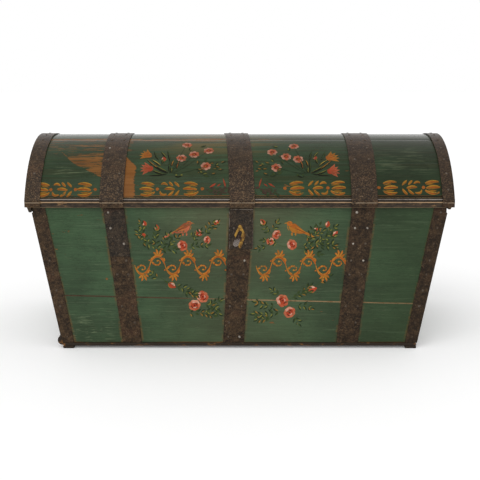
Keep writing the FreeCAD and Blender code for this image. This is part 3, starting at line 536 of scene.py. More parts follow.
def bare_block(finish, up, fray, fine):
    """The bare patch right of the left strap, cut off by a steep line."""
    rise = up + fray * 0.012 + fine * 0.012
    return (finish.within(finish.x + fray * 0.03, BLOCK_LEFT, BLOCK_RIGHT, 0.003)
            * finish.step(0.148 - (finish.x + 0.345) * 1.3 - rise, -0.002, 0.004))


def lid_green():
    """The dome's paint. up is the way up its curve, in metres from its front edge."""
    finish = Finish("lid_green")
    turn = finish.math("ARCTAN2", finish.y - DOME_Y, finish.z - DOME_Z)
    up = (turn + DOME_ANGLE) * DOME_RADIUS
    fray = finish.grains((7, 70, 70), 4.0, 0.65, (5, 2, 2)) - 0.5
    fine = finish.grains((16, 260, 260), 4.0, 0.65, (2, 2, 6)) - 0.5
    wedge = bare_wedge(finish, up, fray, fine)
    block = bare_block(finish, up, fray, fine)
    crown = abs(turn - DOME_ANGLE * STAVE_SHARES[2]) * DOME_RADIUS
    left = 1 - finish.step(finish.x, -0.15, 0.25)
    seam = ((1 - finish.step(crown + fray * 0.05 + fine * 0.03, 0.0030, 0.0110))
            * (0.50 + 0.50 * left) * finish.step(fray + left * 0.14, -0.07, 0.05))
    dry = (finish.within(finish.x, -0.59, -0.33, 0.03) * finish.within(up, 0.160, 0.262, 0.01)
           * finish.step(fine + fray * 0.5 + up * 0.4, 0.10, 0.20))
    edge = finish.within(up, 0.0040, 0.0062, 0.0006) * finish.step(fray, -0.16, -0.02)
    wear = finish.highest(wedge * 0.9, block, dry, seam * 0.8, chips(finish, 0.0), edge)
    pale = (finish.within(finish.x, -0.56, -0.40, 0.03) * finish.within(up, 0.070, 0.105, 0.008)
            + finish.within(finish.x, 0.40, 0.58, 0.03) * finish.within(up, 0.08, 0.19, 0.02))
    pale = pale * finish.step(fine, 0.00, 0.12) * 0.7
    brown = finish.grains((3, 110, 110), 4.0, 0.6, (8, 8, 3))
    middle = 1 - finish.step(abs(finish.x + 0.08), 0.05, 0.30)
    tone = (finish.step(up, 0.10, 0.30) * 0.45 + finish.step(finish.x, 0.1, 0.7) * 0.10
            + finish.step(brown + middle * 0.05, 0.46, 0.60) * 0.65)
    bare = finish.step(wear, 0.4, 0.6)
    shade = (0.34 - bare * 0.16 + finish.step(finish.x, 0.1, 0.5) * 0.22 - middle * 0.08
             + 0.5 * (1 - finish.step(up, 0.0028, 0.0040)))
    ochre = finish.step(brown + middle * 0.08, 0.46, 0.62) * finish.step(up, 0.14, 0.20) * middle
    finish.varnish(1.0, 0.12)
    return worn_paint(finish, wear, tone, pale, (
        (LID_SHADE, shade), (LID_BARE, finish.highest(block, wedge * 0.3) * 0.36),
        (LID_OCHRE, ochre * (1 - bare) * 0.30)), gloss=0.04)


LID_GREEN = lid_green()
print("lid paint with", len(LID_GREEN.node_tree.nodes), "nodes")

# %% [markdown]
# Inside and below, the boards were never painted. Their pine has gone brown, and
# it is the same wood that shows through the scrapes, so one function serves both.
# The mouldings wear a brown-black paint, rubbed to tan on what stands proud: each
# member of the moulding is a band of heights with its own colour. The grooves'
# bands are painted shade, and the bead's pale band is a painted highlight.


# %% Bare boards, mouldings and base edges
def bare_pine():
    finish = Finish("bare_pine")
    wood, grain = bare_wood(finish)
    return finish.done(wood, 0.62 + 0.2 * grain, grain * 0.0004, 0.5, gloss=0.25)


# The grooves' dark bands are painted shade, and the bead's pale band is a painted highlight.
MOULDING_BANDS = (  # lowest and highest place in metres, colour and cover
    (0.4714, 0.4745, pigment(136, 116, 80), 0.9),  # fillet
    (0.4690, 0.4712, pigment(22, 18, 14), 0.9),  # upper groove
    (0.4658, 0.4688, pigment(158, 150, 142), 0.9),  # bead
    (0.4618, 0.4655, pigment(44, 36, 30), 0.8),  # lower groove
    (0.4580, 0.4607, pigment(172, 140, 104), 0.90),  # nose
    (0.4425, 0.4446, pigment(128, 106, 76), 0.7))  # foot of the lip


def moulding_brown():
    """Moulding paint: brown-black, rubbed to tan where proud, painted shade in the grooves, a
    painted highlight on the bead.
    """
    finish = Finish("moulding_brown")
    rub = finish.grains((60, 120, 120), 4.0, 0.62, (1, 8, 3))
    long = finish.grains((6, 40, 40), 3.0, 0.5, (6, 1, 3))
    lip = finish.grains((40, 260, 260), 4.0, 0.65, (2, 2, 2))
    front = finish.step(-0.262 - finish.y, 0.0, 0.001)
    wear_and_light_patches = finish.step(long * 0.55 + rub * 0.45, 0.34, 0.54)
    # Each band's cover is patchy: the painted shade and highlight as well as the wear.
    bands = [(tone, finish.within(finish.z, low, high, 0.0004) * front * cover
              * (0.35 + 0.65 * wear_and_light_patches)) for low, high, tone, cover in MOULDING_BANDS]
    side = (finish.within(finish.z, 0.4565, 0.4600, 0.0008)
            * finish.step(abs(finish.x), 0.6380, 0.6386))
    spot = finish.step(rub * 0.6 + long * 0.4, 0.60, 0.66)
    colour = finish.layered(
        pigment(38, 30, 22), (pigment(72, 57, 40), finish.step(rub * 0.5 + lip * 0.5, 0.42, 0.62)),
        *bands, (pigment(150, 124, 100), side * 0.7 * wear_and_light_patches), (pigment(132, 100, 66), spot * 0.7))
    return finish.done(colour, 0.34 + 0.30 * rub, rub * 0.0003, 0.4, gloss=0.3)


def base_brown():
    finish = Finish("base_brown")
    wood, grain = bare_wood(finish)
    rub = finish.grains((34, 60, 60), 4.0, 0.6, (2, 6, 1))
    colour = finish.mix(pigment(44, 34, 25), wood, finish.step(rub, 0.56, 0.68))
    return finish.done(colour, 0.6 + 0.2 * grain, grain * 0.0004, 0.5, gloss=0.25)


BARE_PINE = bare_pine()
MOULDING_BROWN = moulding_brown()
BASE_BROWN = base_brown()
print("plain woods:", BARE_PINE.name, MOULDING_BROWN.name, BASE_BROWN.name)

# %% [markdown]
# The iron was black once and is now a brown skin of old rust with tiny bright
# grains where it has been polished by hands. It is mostly not metallic: rust is
# an earth. So the metal shows only in worn spots, and the pitting is bump.


# %% Old iron
RUST_BROWN = pigment(88, 60, 42)
SAND = pigment(130, 104, 74)
SAND_DARK = pigment(30, 22, 15)
IRON_SHADE = pigment(34, 22, 11)


def old_iron(name, dark, mid, light, bright, rubbed):
    """Rusted iron. rubbed tells where it is polished and also carries a painted highlight."""
    finish = Finish(name)
    patch = finish.grains((26, 34, 34), 5.0, 0.66, (2, 3, 9))
    blot = finish.grains((75, 75, 75), 4.0, 0.6, (5, 1, 4))
    pit = finish.grains((300, 300, 300), 3.0, 0.65)
    speck = finish.grains((520, 520, 520), 1.0, 0.5, (3, 3, 3))
    grit = finish.grains((170, 170, 170), 2.0, 0.6, (6, 3, 2))
    broad = finish.grains((9, 16, 16), 4.0, 0.62, (1, 6, 2))
    sand = finish.grains((300, 300, 300), 1.0, 0.5, (7, 1, 7))
    coarse = (0.12 + finish.step(finish.z, 0.440, 0.470) * 0.46
              - finish.step(finish.z, 0.52, 0.58) * 0.34)
    # Painted shade: the iron is darker on the lid, towards the right, and low on the right end.
    dull = (finish.step(finish.z, 0.45, 0.47) * 0.22 + finish.step(finish.x, 0.25, 0.35) * 0.18
            + finish.step(finish.x, 0.49, 0.52) * 0.22 * (1 - finish.step(finish.z, 0.43, 0.46)))
    shine = finish.highest(
        finish.step(speck * 0.6 + pit * 0.4, 0.635, 0.68) * finish.step(blot, 0.42, 0.6),
        rubbed(finish, blot))
    colour = finish.layered(
        dark, (mid, finish.step(patch * 0.55 + blot * 0.45, 0.40, 0.60)),
        (light, finish.step(patch * 0.4 + blot * 0.6, 0.53, 0.68) * 0.7),
        (RUST_BROWN, finish.step(broad, 0.54, 0.66) * 0.35),
        (dark, finish.step(0.5 - broad, 0.03, 0.14) * 0.35),
        (light, finish.step(grit, 0.50, 0.62) * 0.34),
        (dark, finish.step(0.5 - pit, 0.0, 0.16) * 0.75),
        (SAND, finish.step(sand, 0.56, 0.63) * coarse),
        (SAND_DARK, finish.step(0.5 - sand, 0.0, 0.08) * coarse),
        (IRON_SHADE, dull), (bright, shine * 0.85))
    finish.varnish(0.6, 0.22)
    return finish.done(colour, 0.60 - 0.22 * shine, pit * 0.0008 + patch * 0.0016 + blot * 0.0006,
                       0.8, metallic=0.4 * shine, gloss=0.16)


print("one old iron, in tones to choose")


# %% Painted highlights on the iron, where it is also polished
def at_the_nose(finish, blot):
    """The bend where the lid straps turn down over the moulding: a painted highlight, where use
    has also polished it.
    """
    line = (finish.within(finish.z, 0.4575, 0.4600, 0.0008)
            * finish.step(0 - finish.y - 0.26, 0.0, 0.005) * 0.8)
    end = (finish.within(finish.z, 0.4565, 0.4605, 0.0010)
           * finish.step(abs(finish.x), 0.634, 0.6365))
    return finish.highest(line, end * 0.6) * finish.step(blot, 0.36, 0.50)


def at_the_rim(finish, blot):
    """The lock plate's edges: a painted highlight, where they were also filed bright once."""
    away = abs(finish.x - 0.0045)
    side = finish.step(away, 0.0338, 0.0352) * (1 - finish.step(finish.x, 0.0, 0.01) * 0.6)
    rim = finish.highest(side * 0.8, finish.step(finish.z, 0.4358, 0.4370))
    rim = rim * (1 - finish.step(away, 0.05, 0.06)) * finish.step(0 - finish.y, 0.26, 0.262)
    return rim * finish.step(blot, 0.40, 0.52) * 0.7


def at_the_cover(finish, blot):
    """The keyhole cover: painted highlight streaks across its foot, which fingers have also rubbed
    bright.
    """
    streak = finish.math("SINE", (finish.x + finish.z) * 1100 + blot * 9)
    return (finish.step(streak, 0.0, 0.5) * finish.step(blot, 0.36, 0.48)
            * (1 - finish.step(finish.z, 0.338, 0.352)) * 0.9)


STRAP_IRON = old_iron("strap_iron", pigment(34, 25, 17), pigment(66, 50, 34),
                      pigment(98, 76, 52), pigment(168, 148, 124), at_the_nose)
FORGED_IRON = old_iron("forged_iron", pigment(30, 26, 22), pigment(56, 46, 36),
                       pigment(84, 72, 58), pigment(160, 150, 138), at_the_rim)
COVER_IRON = old_iron("cover_iron", pigment(26, 20, 18), pigment(58, 42, 36),
                      pigment(86, 68, 60), pigment(190, 182, 174), at_the_cover)
print("irons:", STRAP_IRON.name, FORGED_IRON.name, COVER_IRON.name)


# %% Nail iron and brass
def nail_iron():
    """Nail heads: most as brown as the straps, a few knocked bright, with a painted highlight on
    the crown.
    """
    finish = Finish("nail_iron")
    bright = finish.node("ShaderNodeAttribute", {"attribute_name": "rub"}, {}, "Fac")
    pit = finish.grains((420, 420, 420), 3.0, 0.6)
    colour = finish.layered(
        pigment(40, 31, 23), (pigment(74, 58, 42), finish.step(pit, 0.36, 0.6)),
        (pigment(186, 178, 166), bright * finish.step(pit, 0.30, 0.5)))
    return finish.done(colour, 0.60 - 0.24 * bright, pit * 0.0005, 0.6,
                       metallic=0.6 * bright, gloss=0.12)


def worn_brass():
    """The keyhole's brass, yellow above and browner towards its foot."""
    finish = Finish("worn_brass")
    patch = finish.grains((70, 70, 70), 4.0, 0.6)
    pit = finish.grains((400, 400, 400), 3.0, 0.6, (1, 1, 1))
    low = (1 - finish.step(finish.z, 0.346, 0.362)) * 0.09
    colour = finish.mix(pigment(176, 136, 62), pigment(84, 56, 34),
                        finish.step(patch * 0.7 + pit * 0.3 + low, 0.46, 0.60))
    return finish.done(colour, 0.34 + 0.3 * patch, pit * 0.0003, 0.5, metallic=0.75)


NAIL_IRON = nail_iron()
BRASS = worn_brass()
print("metals:", STRAP_IRON.name, FORGED_IRON.name, NAIL_IRON.name, BRASS.name)

# %% [markdown]
# Every board and strap starts from its CAD mesh, which is a heap of loose
# triangles with knife edges. A copy is merged and its flat faces are rejoined,
# so that a bevel can run along the true edges only. The bevel is what catches
# the light, as a worn arris does.

# %% Reworking a copy of a CAD piece
BODY_OF = {node: body for body, nodes in frame["record"]["behaviour"]["bodies"].items()
           for node in nodes}
made = {}


def copy_of(node):
    """The CAD piece as a sound mesh: doubles merged and flat faces rejoined."""
    work = bmesh.new()
    work.from_mesh(frame["nodes"][node].data)
    bmesh.ops.remove_doubles(work, verts=work.verts, dist=1e-5)
    bmesh.ops.dissolve_limit(work, angle_limit=math.radians(0.4), verts=work.verts,
                             edges=work.edges)
    for layer in list(work.loops.layers.uv):
        work.loops.layers.uv.remove(layer)
    return work


def bevelled(work, width, corner):
    """Bevels the edges that turn by more than the corner angle. Gives the new faces."""
    edges = [edge for edge in work.edges
             if edge.is_manifold and edge.calc_face_angle() > math.radians(corner)]
    return bmesh.ops.bevel(work, geom=edges, offset=width, segments=2, profile=0.5,
                           affect="EDGES", clamp_overlap=True, material=-1)["faces"]


def soften(work, width, corner=30):
    """Flat faces, with smooth bevels between them. The width is in millimetres."""
    for face in work.faces:
        face.smooth = False
    for face in bevelled(work, width * MM, corner):
        face.smooth = True


def round_off(work, corner=35):
    """Smooth shading all over, with a break where faces meet at a corner."""
    for face in work.faces:
        face.smooth = True
    for edge in work.edges:
        edge.smooth = edge.is_manifold and edge.calc_face_angle() < math.radians(corner)


def settle(work, name, finish, slot, body, *nodes):
    """Turns the worked mesh into a piece that rides on its body."""
    mesh = bpy.data.meshes.new(name)
    work.to_mesh(mesh)
    work.free()
    piece = bpy.data.objects.new(name, mesh)
    bpy.context.scene.collection.objects.link(piece)
    mesh.materials.append(finish)
    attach(piece, body)
    if nodes:
        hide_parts(*nodes)
    made[name] = len(mesh.polygons)
    return piece


def replace_cad(work, node, finish, slot):
    """Settles a worked mesh in the place of its CAD piece."""
    return settle(work, node + "_worked", finish, slot, BODY_OF[node], node)


def worked(node, finish, slot, width, corner=30):
    """A CAD piece with softened edges."""
    work = copy_of(node)
    soften(work, width, corner)
    replace_cad(work, node, finish, slot)


print("bodies:", sorted(set(BODY_OF.values())))

# %% [markdown]
# The boards keep their shape, so softening is all they need. The front and the
# ends wear the green. The floor, the skids and the insides stay bare: a painted
# board gets a second material on the faces that look inwards.


# %% Boards of the box
def board(node, finish, inward, width=1.2):
    """A plank: painted outside, bare on its upper edge and where it looks inwards."""
    work = copy_of(node)
    soften(work, width)
    for face in work.faces:
        looks_in = face.normal.dot(Vector(inward)) > 0.5
        face.material_index = int(looks_in or face.normal.z > 0.8)
    piece = replace_cad(work, node, finish, "painted_pine")
    piece.data.materials.append(BARE_PINE)


for level in ("lower", "upper"):
    board(f"front_board_{level}", FRONT_GREEN, (0, 1, 0))
    board(f"back_board_{level}", BACK_GREEN, (0, -1, 0))
    board(f"left_end_board_{level}", END_GREEN, (1, 0, 0))
    board(f"right_end_board_{level}", END_GREEN, (-1, 0, 0))
for place in ("front", "middle", "back"):
    worked(f"bottom_board_{place}", BASE_BROWN, "bare_pine", 2.0)
for node in ("left_skid", "right_skid", "left_base_batten"):
    worked(node, BASE_BROWN, "bare_pine", 1.5)
print("boards:", len(made))

# %% [markdown]
# The lid is coopered from five staves. Spinning a thin rectangle about the
# dome's axis makes each one with an even curve, which the CAD mesh has only
# roughly, and the bevel along its long edges draws the seams between staves.

# %% Staves
DOME_AXIS = Vector((0, DOME_Y, DOME_Z))
STAVE_THICKNESS = 0.018
STAVE_BEVEL = 0.0004


def stave(number):
    """One stave, as a section that is spun from the seam below to the seam above."""
    node = f"lid_stave_{number}"
    low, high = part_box(node)
    first, last = (share * DOME_ANGLE for share in STAVE_SHARES[number - 1:number + 1])
    inner = DOME_RADIUS - STAVE_THICKNESS
    work = bmesh.new()
    corners = [work.verts.new((x, DOME_Y, DOME_Z + radius)) for x, radius in (
        (low.x, DOME_RADIUS), (high.x, DOME_RADIUS), (high.x, inner), (low.x, inner))]
    section = work.faces.new(corners)
    bmesh.ops.rotate(work, verts=corners, cent=DOME_AXIS, matrix=Matrix.Rotation(-first, 3, "X"))
    steps = max(6, round(math.degrees(last - first) / 2))
    bmesh.ops.spin(work, geom=[section], cent=DOME_AXIS, axis=(1, 0, 0),
                   angle=-(last - first), steps=steps, use_merge=False)
    bmesh.ops.recalc_face_normals(work, faces=work.faces)
    bevelled(work, STAVE_BEVEL, 30)
    round_off(work, 40)
    for face in work.faces:
        away = face.calc_center_median() - DOME_AXIS
        away.x = 0
        face.material_index = int(face.normal.dot(away.normalized()) < -0.5)
    piece = replace_cad(work, node, LID_GREEN, "painted_pine")
    piece.data.materials.append(BARE_PINE)
    return len(piece.data.polygons)


for number in range(1, 6):
    print("stave", number, "has", stave(number), "faces")

# %% [markdown]
# The lid's front moulding catches the eye: from the top a fillet, a groove, a
# bead, another groove, a round nose and a flat lip that hangs over the box. A
# shader can't fake its highlights from every side. So its section is drawn as a
# few points and extruded along the trunk, with a cut now and then to let it
# wander as hand-planed stock does.

# %% Front moulding
END_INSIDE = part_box("lid_front_rail")[1].x
RAIL_SECTION = (
    (-235.0, 455.3), (-235.0, 465.4), (-250.7, 465.4), (-266.3, 473.9), (-265.0, 473.2),
    (-264.6, 471.6), (-265.4, 470.7), (-267.2, 470.2), (-268.4, 469.0), (-268.7, 467.6),
    (-268.2, 466.2), (-266.8, 465.3), (-265.4, 464.9), (-265.0, 463.8), (-265.4, 462.8),
    (-268.2, 462.5), (-270.6, 461.4), (-271.8, 459.6), (-272.0, 458.0), (-271.6, 456.4),
    (-270.4, 455.0), (-269.4, 453.6), (-269.6, 449.0), (-270.0, 444.4), (-269.2, 443.0),
    (-265.2, 443.0), (-264.5, 443.8), (-264.5, 455.3))
MOULDING_CUTS = 48
WANDER = 0.0004
PROUD = -0.2655  # y of what stands far enough forward to wander
FILLET_FOOT = 0.472


def cut_by(work, place, normal):
    """Cuts the whole mesh where a plane meets it, and keeps both sides."""
    bmesh.ops.bisect_plane(work, geom=[*work.verts, *work.edges, *work.faces],
                           plane_co=place, plane_no=normal)


def front_moulding():
    """The moulded rail: only the members below the fillet wander, and not the back."""
    work = bmesh.new()
    section = work.faces.new([work.verts.new((-END_INSIDE, y * MM, z * MM))
                              for y, z in RAIL_SECTION])
    moved = bmesh.ops.extrude_face_region(work, geom=[section])["geom"]
    far = [item for item in moved if isinstance(item, bmesh.types.BMVert)]
    bmesh.ops.translate(work, verts=far, vec=(2 * END_INSIDE, 0, 0))
    for number in range(1, MOULDING_CUTS):
        place = -END_INSIDE + 2 * END_INSIDE * number / MOULDING_CUTS
        cut_by(work, (place, 0, 0), (1, 0, 0))
    for vert in work.verts:
        if vert.co.y < PROUD and vert.co.z < FILLET_FOOT:
            wander = noise.noise(Vector((vert.co.x * 9, vert.co.z * 60, 3)))
            vert.co.z += wander * WANDER
            vert.co.y += abs(wander) * WANDER
    bmesh.ops.recalc_face_normals(work, faces=work.faces)
    round_off(work, 46)
    replace_cad(work, "lid_front_rail", MOULDING_BROWN, "moulding_paint")


front_moulding()
for node in ("lid_back_rail", "lid_left_rail", "lid_right_rail"):
    worked(node, MOULDING_BROWN, "moulding_paint", 0.8)
board("lid_end_board_left", END_GREEN, (1, 0, 0), 1.0)
board("lid_end_board_right", END_GREEN, (-1, 0, 0), 1.0)
print("moulding points:", len(RAIL_SECTION))

# %% [markdown]
# A forged strap is never quite straight: its edges swell and narrow where the
# hammer fell, and rust has eaten at them. Each strap is cut across many times,
# and the cuts are pushed to and fro by smooth noise, only sideways, so that the
# iron keeps flat on the wood.


# %% Cutting and hammering
WALL_CUTS = 42
LID_CUTS = 56
CUTS_START = 0.014
CUTS_END = 0.455


def cut_across(work, end=CUTS_END):
    """Cuts a wall strap into lengths, up to this height."""
    for number in range(1, WALL_CUTS):
        cut_by(work, (0, 0, CUTS_START + (end - CUTS_START) * number / WALL_CUTS), (0, 0, 1))


def cut_round(work):
    """Cuts a bent strap along the dome, by planes through the dome's axis."""
    for number in range(1, LID_CUTS):
        angle = -DOME_ANGLE + 2 * DOME_ANGLE * number / LID_CUTS
        cut_by(work, DOME_AXIS, (0, math.cos(angle), -math.sin(angle)))


def hammer(work, amount, held):
    """Pushes a strap's edges sideways by smooth noise. held says which points stay."""
    for vert in work.verts:
        if held(vert.co):
            continue
        fine = noise.noise(Vector((vert.co.x * 30, vert.co.y * 46, vert.co.z * 46)))
        broad = noise.noise(Vector((vert.co.x * 11, vert.co.y * 14, vert.co.z * 14)))
        vert.co.x += (fine * 0.6 + broad * 0.8) * amount * MM


def strap(node, cuts, amount, held=lambda point: False):
    """A strap with uneven edges. amount is how far the hammer went, in millimetres."""
    work = copy_of(node)
    cuts(work)
    hammer(work, amount, held)
    soften(work, 0.8, 40)
    replace_cad(work, node, STRAP_IRON, "strap_iron")


print("cuts in each wall strap:", WALL_CUTS - 1, "and in each lid strap:", LID_CUTS - 1)

# %% Every strap
KNUCKLE_START = 0.43
CORNER_X = 0.5464  # of the trunk's corner, at the height of the strap's foot
CORNER_LEAN = 0.178
CORNER_BAND = 0.012


def at_the_corner(point):
    """A corner strap keeps its bend, and its end under the lid."""
    corner = CORNER_X + CORNER_LEAN * (point.z - STRAP_FOOT)
    return abs(point.x) > corner - CORNER_BAND or point.z > 0.425


for node in ("front_strap_left", "front_strap_centre", "front_strap_right",
             "back_strap_centre"):
    strap(node, cut_across, 1.3)
for name in ("left", "right"):
    strap(f"back_hinge_strap_{name}", lambda work: cut_across(work, KNUCKLE_START), 1.0,
          lambda point: point.z > KNUCKLE_START)
    for face in ("front", "back"):
        strap(f"{face}_strap_corner_{name}", cut_across, 1.1, at_the_corner)
for name in ("left", "centre", "right"):
    strap(f"lid_strap_{name}", cut_round, 1.2, lambda point: point.z < 0.462 and point.y > 0.2)
for name in ("left", "right"):
    strap(f"lid_strap_end_{name}", cut_round, 1.1, lambda point: abs(point.x) > 0.625)
print("straps:", sum("strap" in name for name in made))

# %% Patch, lock plate and small iron
for node in ("front_strap_patch", "lock_plate"):
    worked(node, FORGED_IRON, "forged_iron", 0.7)
for node in ("hinge_pin_left", "hinge_pin_right", "cover_rivet", "lock_case", "lock_bolt",
             "lid_lock_tongue", "left_handle_plate", "right_handle_plate"):
    worked(node, FORGED_IRON, "forged_iron", 0.4, 40)
worked("keyhole_cover", COVER_IRON, "forged_iron", 0.7, 40)
worked("keyhole_escutcheon", BRASS, "escutcheon_brass", 0.45, 40)
for side in ("left", "right"):
    node = f"{side}_handle_bail"
    work = copy_of(node)
    round_off(work, 40)
    replace_cad(work, node, FORGED_IRON, "forged_iron")
print("pieces so far:", len(made))

# %% [markdown]
# The nails have heads like low domes, each a little different. CAD keeps them
# as small pyramids in four groups. Each pyramid's own corners tell where its
# head sits and which way it looks: the wide corners are its foot and the near
# ones its top. A low dome goes there, turned and scaled a little at random.


# %% Where the nails are
TOP_CORNERS = 4


def pyramids(node):
    """The foot of every nail in a CAD group, and the way from it to the nail's top."""
    work = copy_of(node)
    met = set()
    for first in work.verts:
        if first in met:
            continue
        met.add(first)
        island, edge = [], [first]
        while edge:
            vert = edge.pop()
            island.append(vert)
            for link in vert.link_edges:
                other = link.other_vert(vert)
                if other not in met:
                    met.add(other)
                    edge.append(other)
        middle = sum((vert.co for vert in island), Vector()) / len(island)
        order = sorted(island, key=lambda vert: (vert.co - middle).length)
        top, foot = (sum((vert.co for vert in corners), Vector()) / len(corners)
                     for corners in (order[:TOP_CORNERS], order[TOP_CORNERS:]))
        yield foot, top - foot
    work.free()


print("front nails found:", sum(1 for nail in pyramids("front_nails")))

# %% Nail heads
HEAD_FOOT = -0.05  # where a sphere of radius 1 is cut off


def nail_heads(node, polished):
    """Domed heads. polished is the share of them that is bright."""
    chance = random.Random(node)
    work = bmesh.new()
    rub = work.verts.layers.float.new("rub")
    count = 0
    for foot, rise in sorted(pyramids(node), key=lambda nail: [round(v, 4) for v in nail[0]]):
        head = bmesh.ops.create_uvsphere(work, u_segments=9, v_segments=6, radius=1)["verts"]
        cut = bmesh.ops.bisect_plane(
            work, geom=[*head, *{edge for vert in head for edge in vert.link_edges},
                        *{face for vert in head for face in vert.link_faces}],
            plane_co=(0, 0, HEAD_FOOT), plane_no=(0, 0, 1), clear_inner=True)
        dome = [item for item in {*cut["geom"], *cut["geom_cut"]}
                if isinstance(item, bmesh.types.BMVert) and item.is_valid]
        wide = chance.uniform(3.7, 4.7) * MM
        tall = rise.length * chance.uniform(0.72, 0.94)
        rare = 0.25 if foot.z < 0.30 else 1
        shiny = chance.random() < polished * rare and abs(foot.x) < 0.5
        bright = chance.uniform(0.5, 1.0) if shiny else chance.uniform(0, 0.16)
        for vert in dome:
            # The rub is strongest on the crown of the head: a painted highlight.
            vert[rub] = bright * (1 if vert.co.z > 0.6 else 0.35)
        turn = rise.to_track_quat("Z", "Y").to_matrix().to_4x4()
        spin = Matrix.Rotation(chance.uniform(0, math.tau), 4, "Z")
        size = Matrix.Diagonal((wide, wide * chance.uniform(0.85, 1.1), tall, 1))
        bmesh.ops.transform(work, verts=dome, matrix=Matrix.Translation(foot) @ turn @ spin @ size)
        count += 1
    round_off(work, 80)
    replace_cad(work, node, NAIL_IRON, "nail_iron")
    return count


for node, polished in (("front_nails", 0.35), ("back_nails", 0.2), ("end_nails", 0.1),
                       ("lid_nails", 0.02)):
    print(node, nail_heads(node, polished))

# %% [markdown]
# The flowers are brush strokes, and they are made as strokes: a strip of a few
# faces that swells and tapers along a curve, laid a hair above the board. An
# image would be simpler but would blur close up. Each stroke's colour is kept on
# its points, so one material paints them all and wears them as the ground wears.

# %% Pigments
OCHRE = pigment(184, 126, 48)
ORANGE = pigment(180, 101, 40)
EMBER = pigment(166, 74, 34)
YELLOW = pigment(196, 168, 76)
RED = pigment(176, 70, 44)
CORAL = pigment(194, 107, 76)
PINK = pigment(224, 172, 150)
PETAL = pigment(210, 156, 134)
WHITE = pigment(214, 204, 186)
WINE = pigment(108, 36, 30)
RUST = pigment(152, 84, 54)
LEAF_DARK = pigment(44, 56, 38)
LEAF_DEEP = pigment(58, 72, 44)
LEAF_GOLD = pigment(148, 108, 46)
BLADE = pigment(20, 25, 17)
LEAF = pigment(66, 80, 40)
LEAF_PALE = pigment(124, 122, 56)
SOOT = pigment(78, 64, 52)
SOOT_RED = pigment(80, 58, 50)
OLD_VARNISH = (0.010, 0.008, 0.003, 1)


def folk_paint(name, age):
    """The strokes' own colours, thinned and chipped so that the green shows.
    age darkens them, as varnish has done on the lid."""
    finish = Finish(name)
    stroke = finish.node("ShaderNodeAttribute", {"attribute_name": "pigment"}, {}, "Color")
    thin = finish.grains((90, 200, 200), 4.0, 0.65, (2, 2, 7))
    chip = finish.grains((60, 110, 110), 4.0, 0.6, (8, 1, 5))
    colour = finish.layered(stroke, (GREEN_DARK, finish.step(thin, 0.50, 0.72) * 0.55),
                            (GREEN, finish.step(chip, 0.60, 0.66) * 0.8), (OLD_VARNISH, age))
    return finish.done(colour, 0.5 + 0.2 * thin, thin * 0.0003, 0.5, gloss=0.08)


WALL_PAINT = folk_paint("wall_flower_paint", 0.05)
LID_PAINT = folk_paint("lid_flower_paint", 0.40)
print("pigments go on by attribute:", WALL_PAINT.name, LID_PAINT.name)


# %% The brush
FIRST_LIFT = 0.16  # millimetres that a motif's lowest stroke lies above the ground
NEXT_LIFT = 0.012  # and how much higher each later one lies


class Painting:
    """Brush strokes in millimetres on a flat sheet, which is then laid on the trunk."""

    def __init__(self, seed):
        self.work = bmesh.new()
        self.tint = self.work.verts.layers.float_color.new("pigment")
        self.chance = random.Random(seed)
        self.lift = 0.0
        self.strokes = 0

    def motif(self):
        """Starts a new motif, whose first stroke lies lowest."""
        self.lift = FIRST_LIFT

    def next_shade(self, least, most):
        """Lifts the brush for the next stroke, and gives it a shade of its own."""
        self.lift += NEXT_LIFT
        self.strokes += 1
        return self.chance.uniform(least, most)

    def stroke(self, route, width, colour, tip=None, head=0.5, blunt=1.0, steps=8):
        """A stroke along two to four points. head is where it is widest, 0 to 1."""
        grid = bmesh.ops.create_grid(self.work, x_segments=steps, y_segments=2, size=1)["verts"]
        curve = [Vector(point) for point in route]
        tip = tip or colour
        shade = self.next_shade(0.86, 1.12)
        for vert in grid:
            along, side = (vert.co.x + 1) / 2, vert.co.y
            place, way = bend(curve, along)
            swell = (along / head if along < head else (1 - along) / (1 - head))
            half = width / 2 * max(0.08, math.sin(swell * math.pi / 2)) ** blunt
            half *= 1 + 0.12 * noise.noise(Vector((place.x * 0.3, place.y * 0.3, side)))
            across = Vector((-way.y, way.x)) * side * half
            vert.co = (place.x + across.x, place.y + across.y, self.lift)
            vert[self.tint] = [shade * (colour[i] + (tip[i] - colour[i]) * along)
                               for i in range(3)] + [1.0]

    def dot(self, place, radius, colour, squash=1.0, turn=0.0):
        """A dab of the brush."""
        disc = bmesh.ops.create_circle(self.work, cap_ends=True, cap_tris=True, segments=11,
                                       radius=1)["verts"]
        shade = self.next_shade(0.88, 1.1)
        cos, sin = math.cos(math.radians(turn)), math.sin(math.radians(turn))
        for vert in disc:
            size = radius * (1 + 0.10 * self.chance.uniform(-1, 1))
            u, v = vert.co.x * size, vert.co.y * size * squash
            vert.co = (place[0] + u * cos - v * sin, place[1] + u * sin + v * cos, self.lift)
            vert[self.tint] = [shade * colour[i] for i in range(3)] + [1.0]

    def lay(self, name, body, onto, finish):
        """Lays the sheet on the trunk: onto gives the place of each point."""
        for vert in self.work.verts:
            vert.co = onto(vert.co.x, vert.co.y, vert.co.z)
        for face in self.work.faces:
            face.smooth = True
        return settle(self.work, name, finish, "painted_pine", body)


def bend(points, along):
    """The place and the direction on a smooth curve through its control points."""
    level, way = list(points), Vector((1, 0))
    while len(level) > 1:
        if len(level) == 2:
            way = level[1] - level[0]
        level = [first.lerp(second, along) for first, second in zip(level, level[1:])]
    return level[0], way.normalized()


print("a bend's middle:", bend([Vector((0, 0)), Vector((1, 2)), Vector((2, 0))], 0.5)[0])

# %% [markdown]
# Country painters worked from a small stock of shapes: the rose, the bud, the
# tulip, the star flower, the comma leaf. Each is a function here, a handful of
# strokes round a point, so a spray is a list of places.


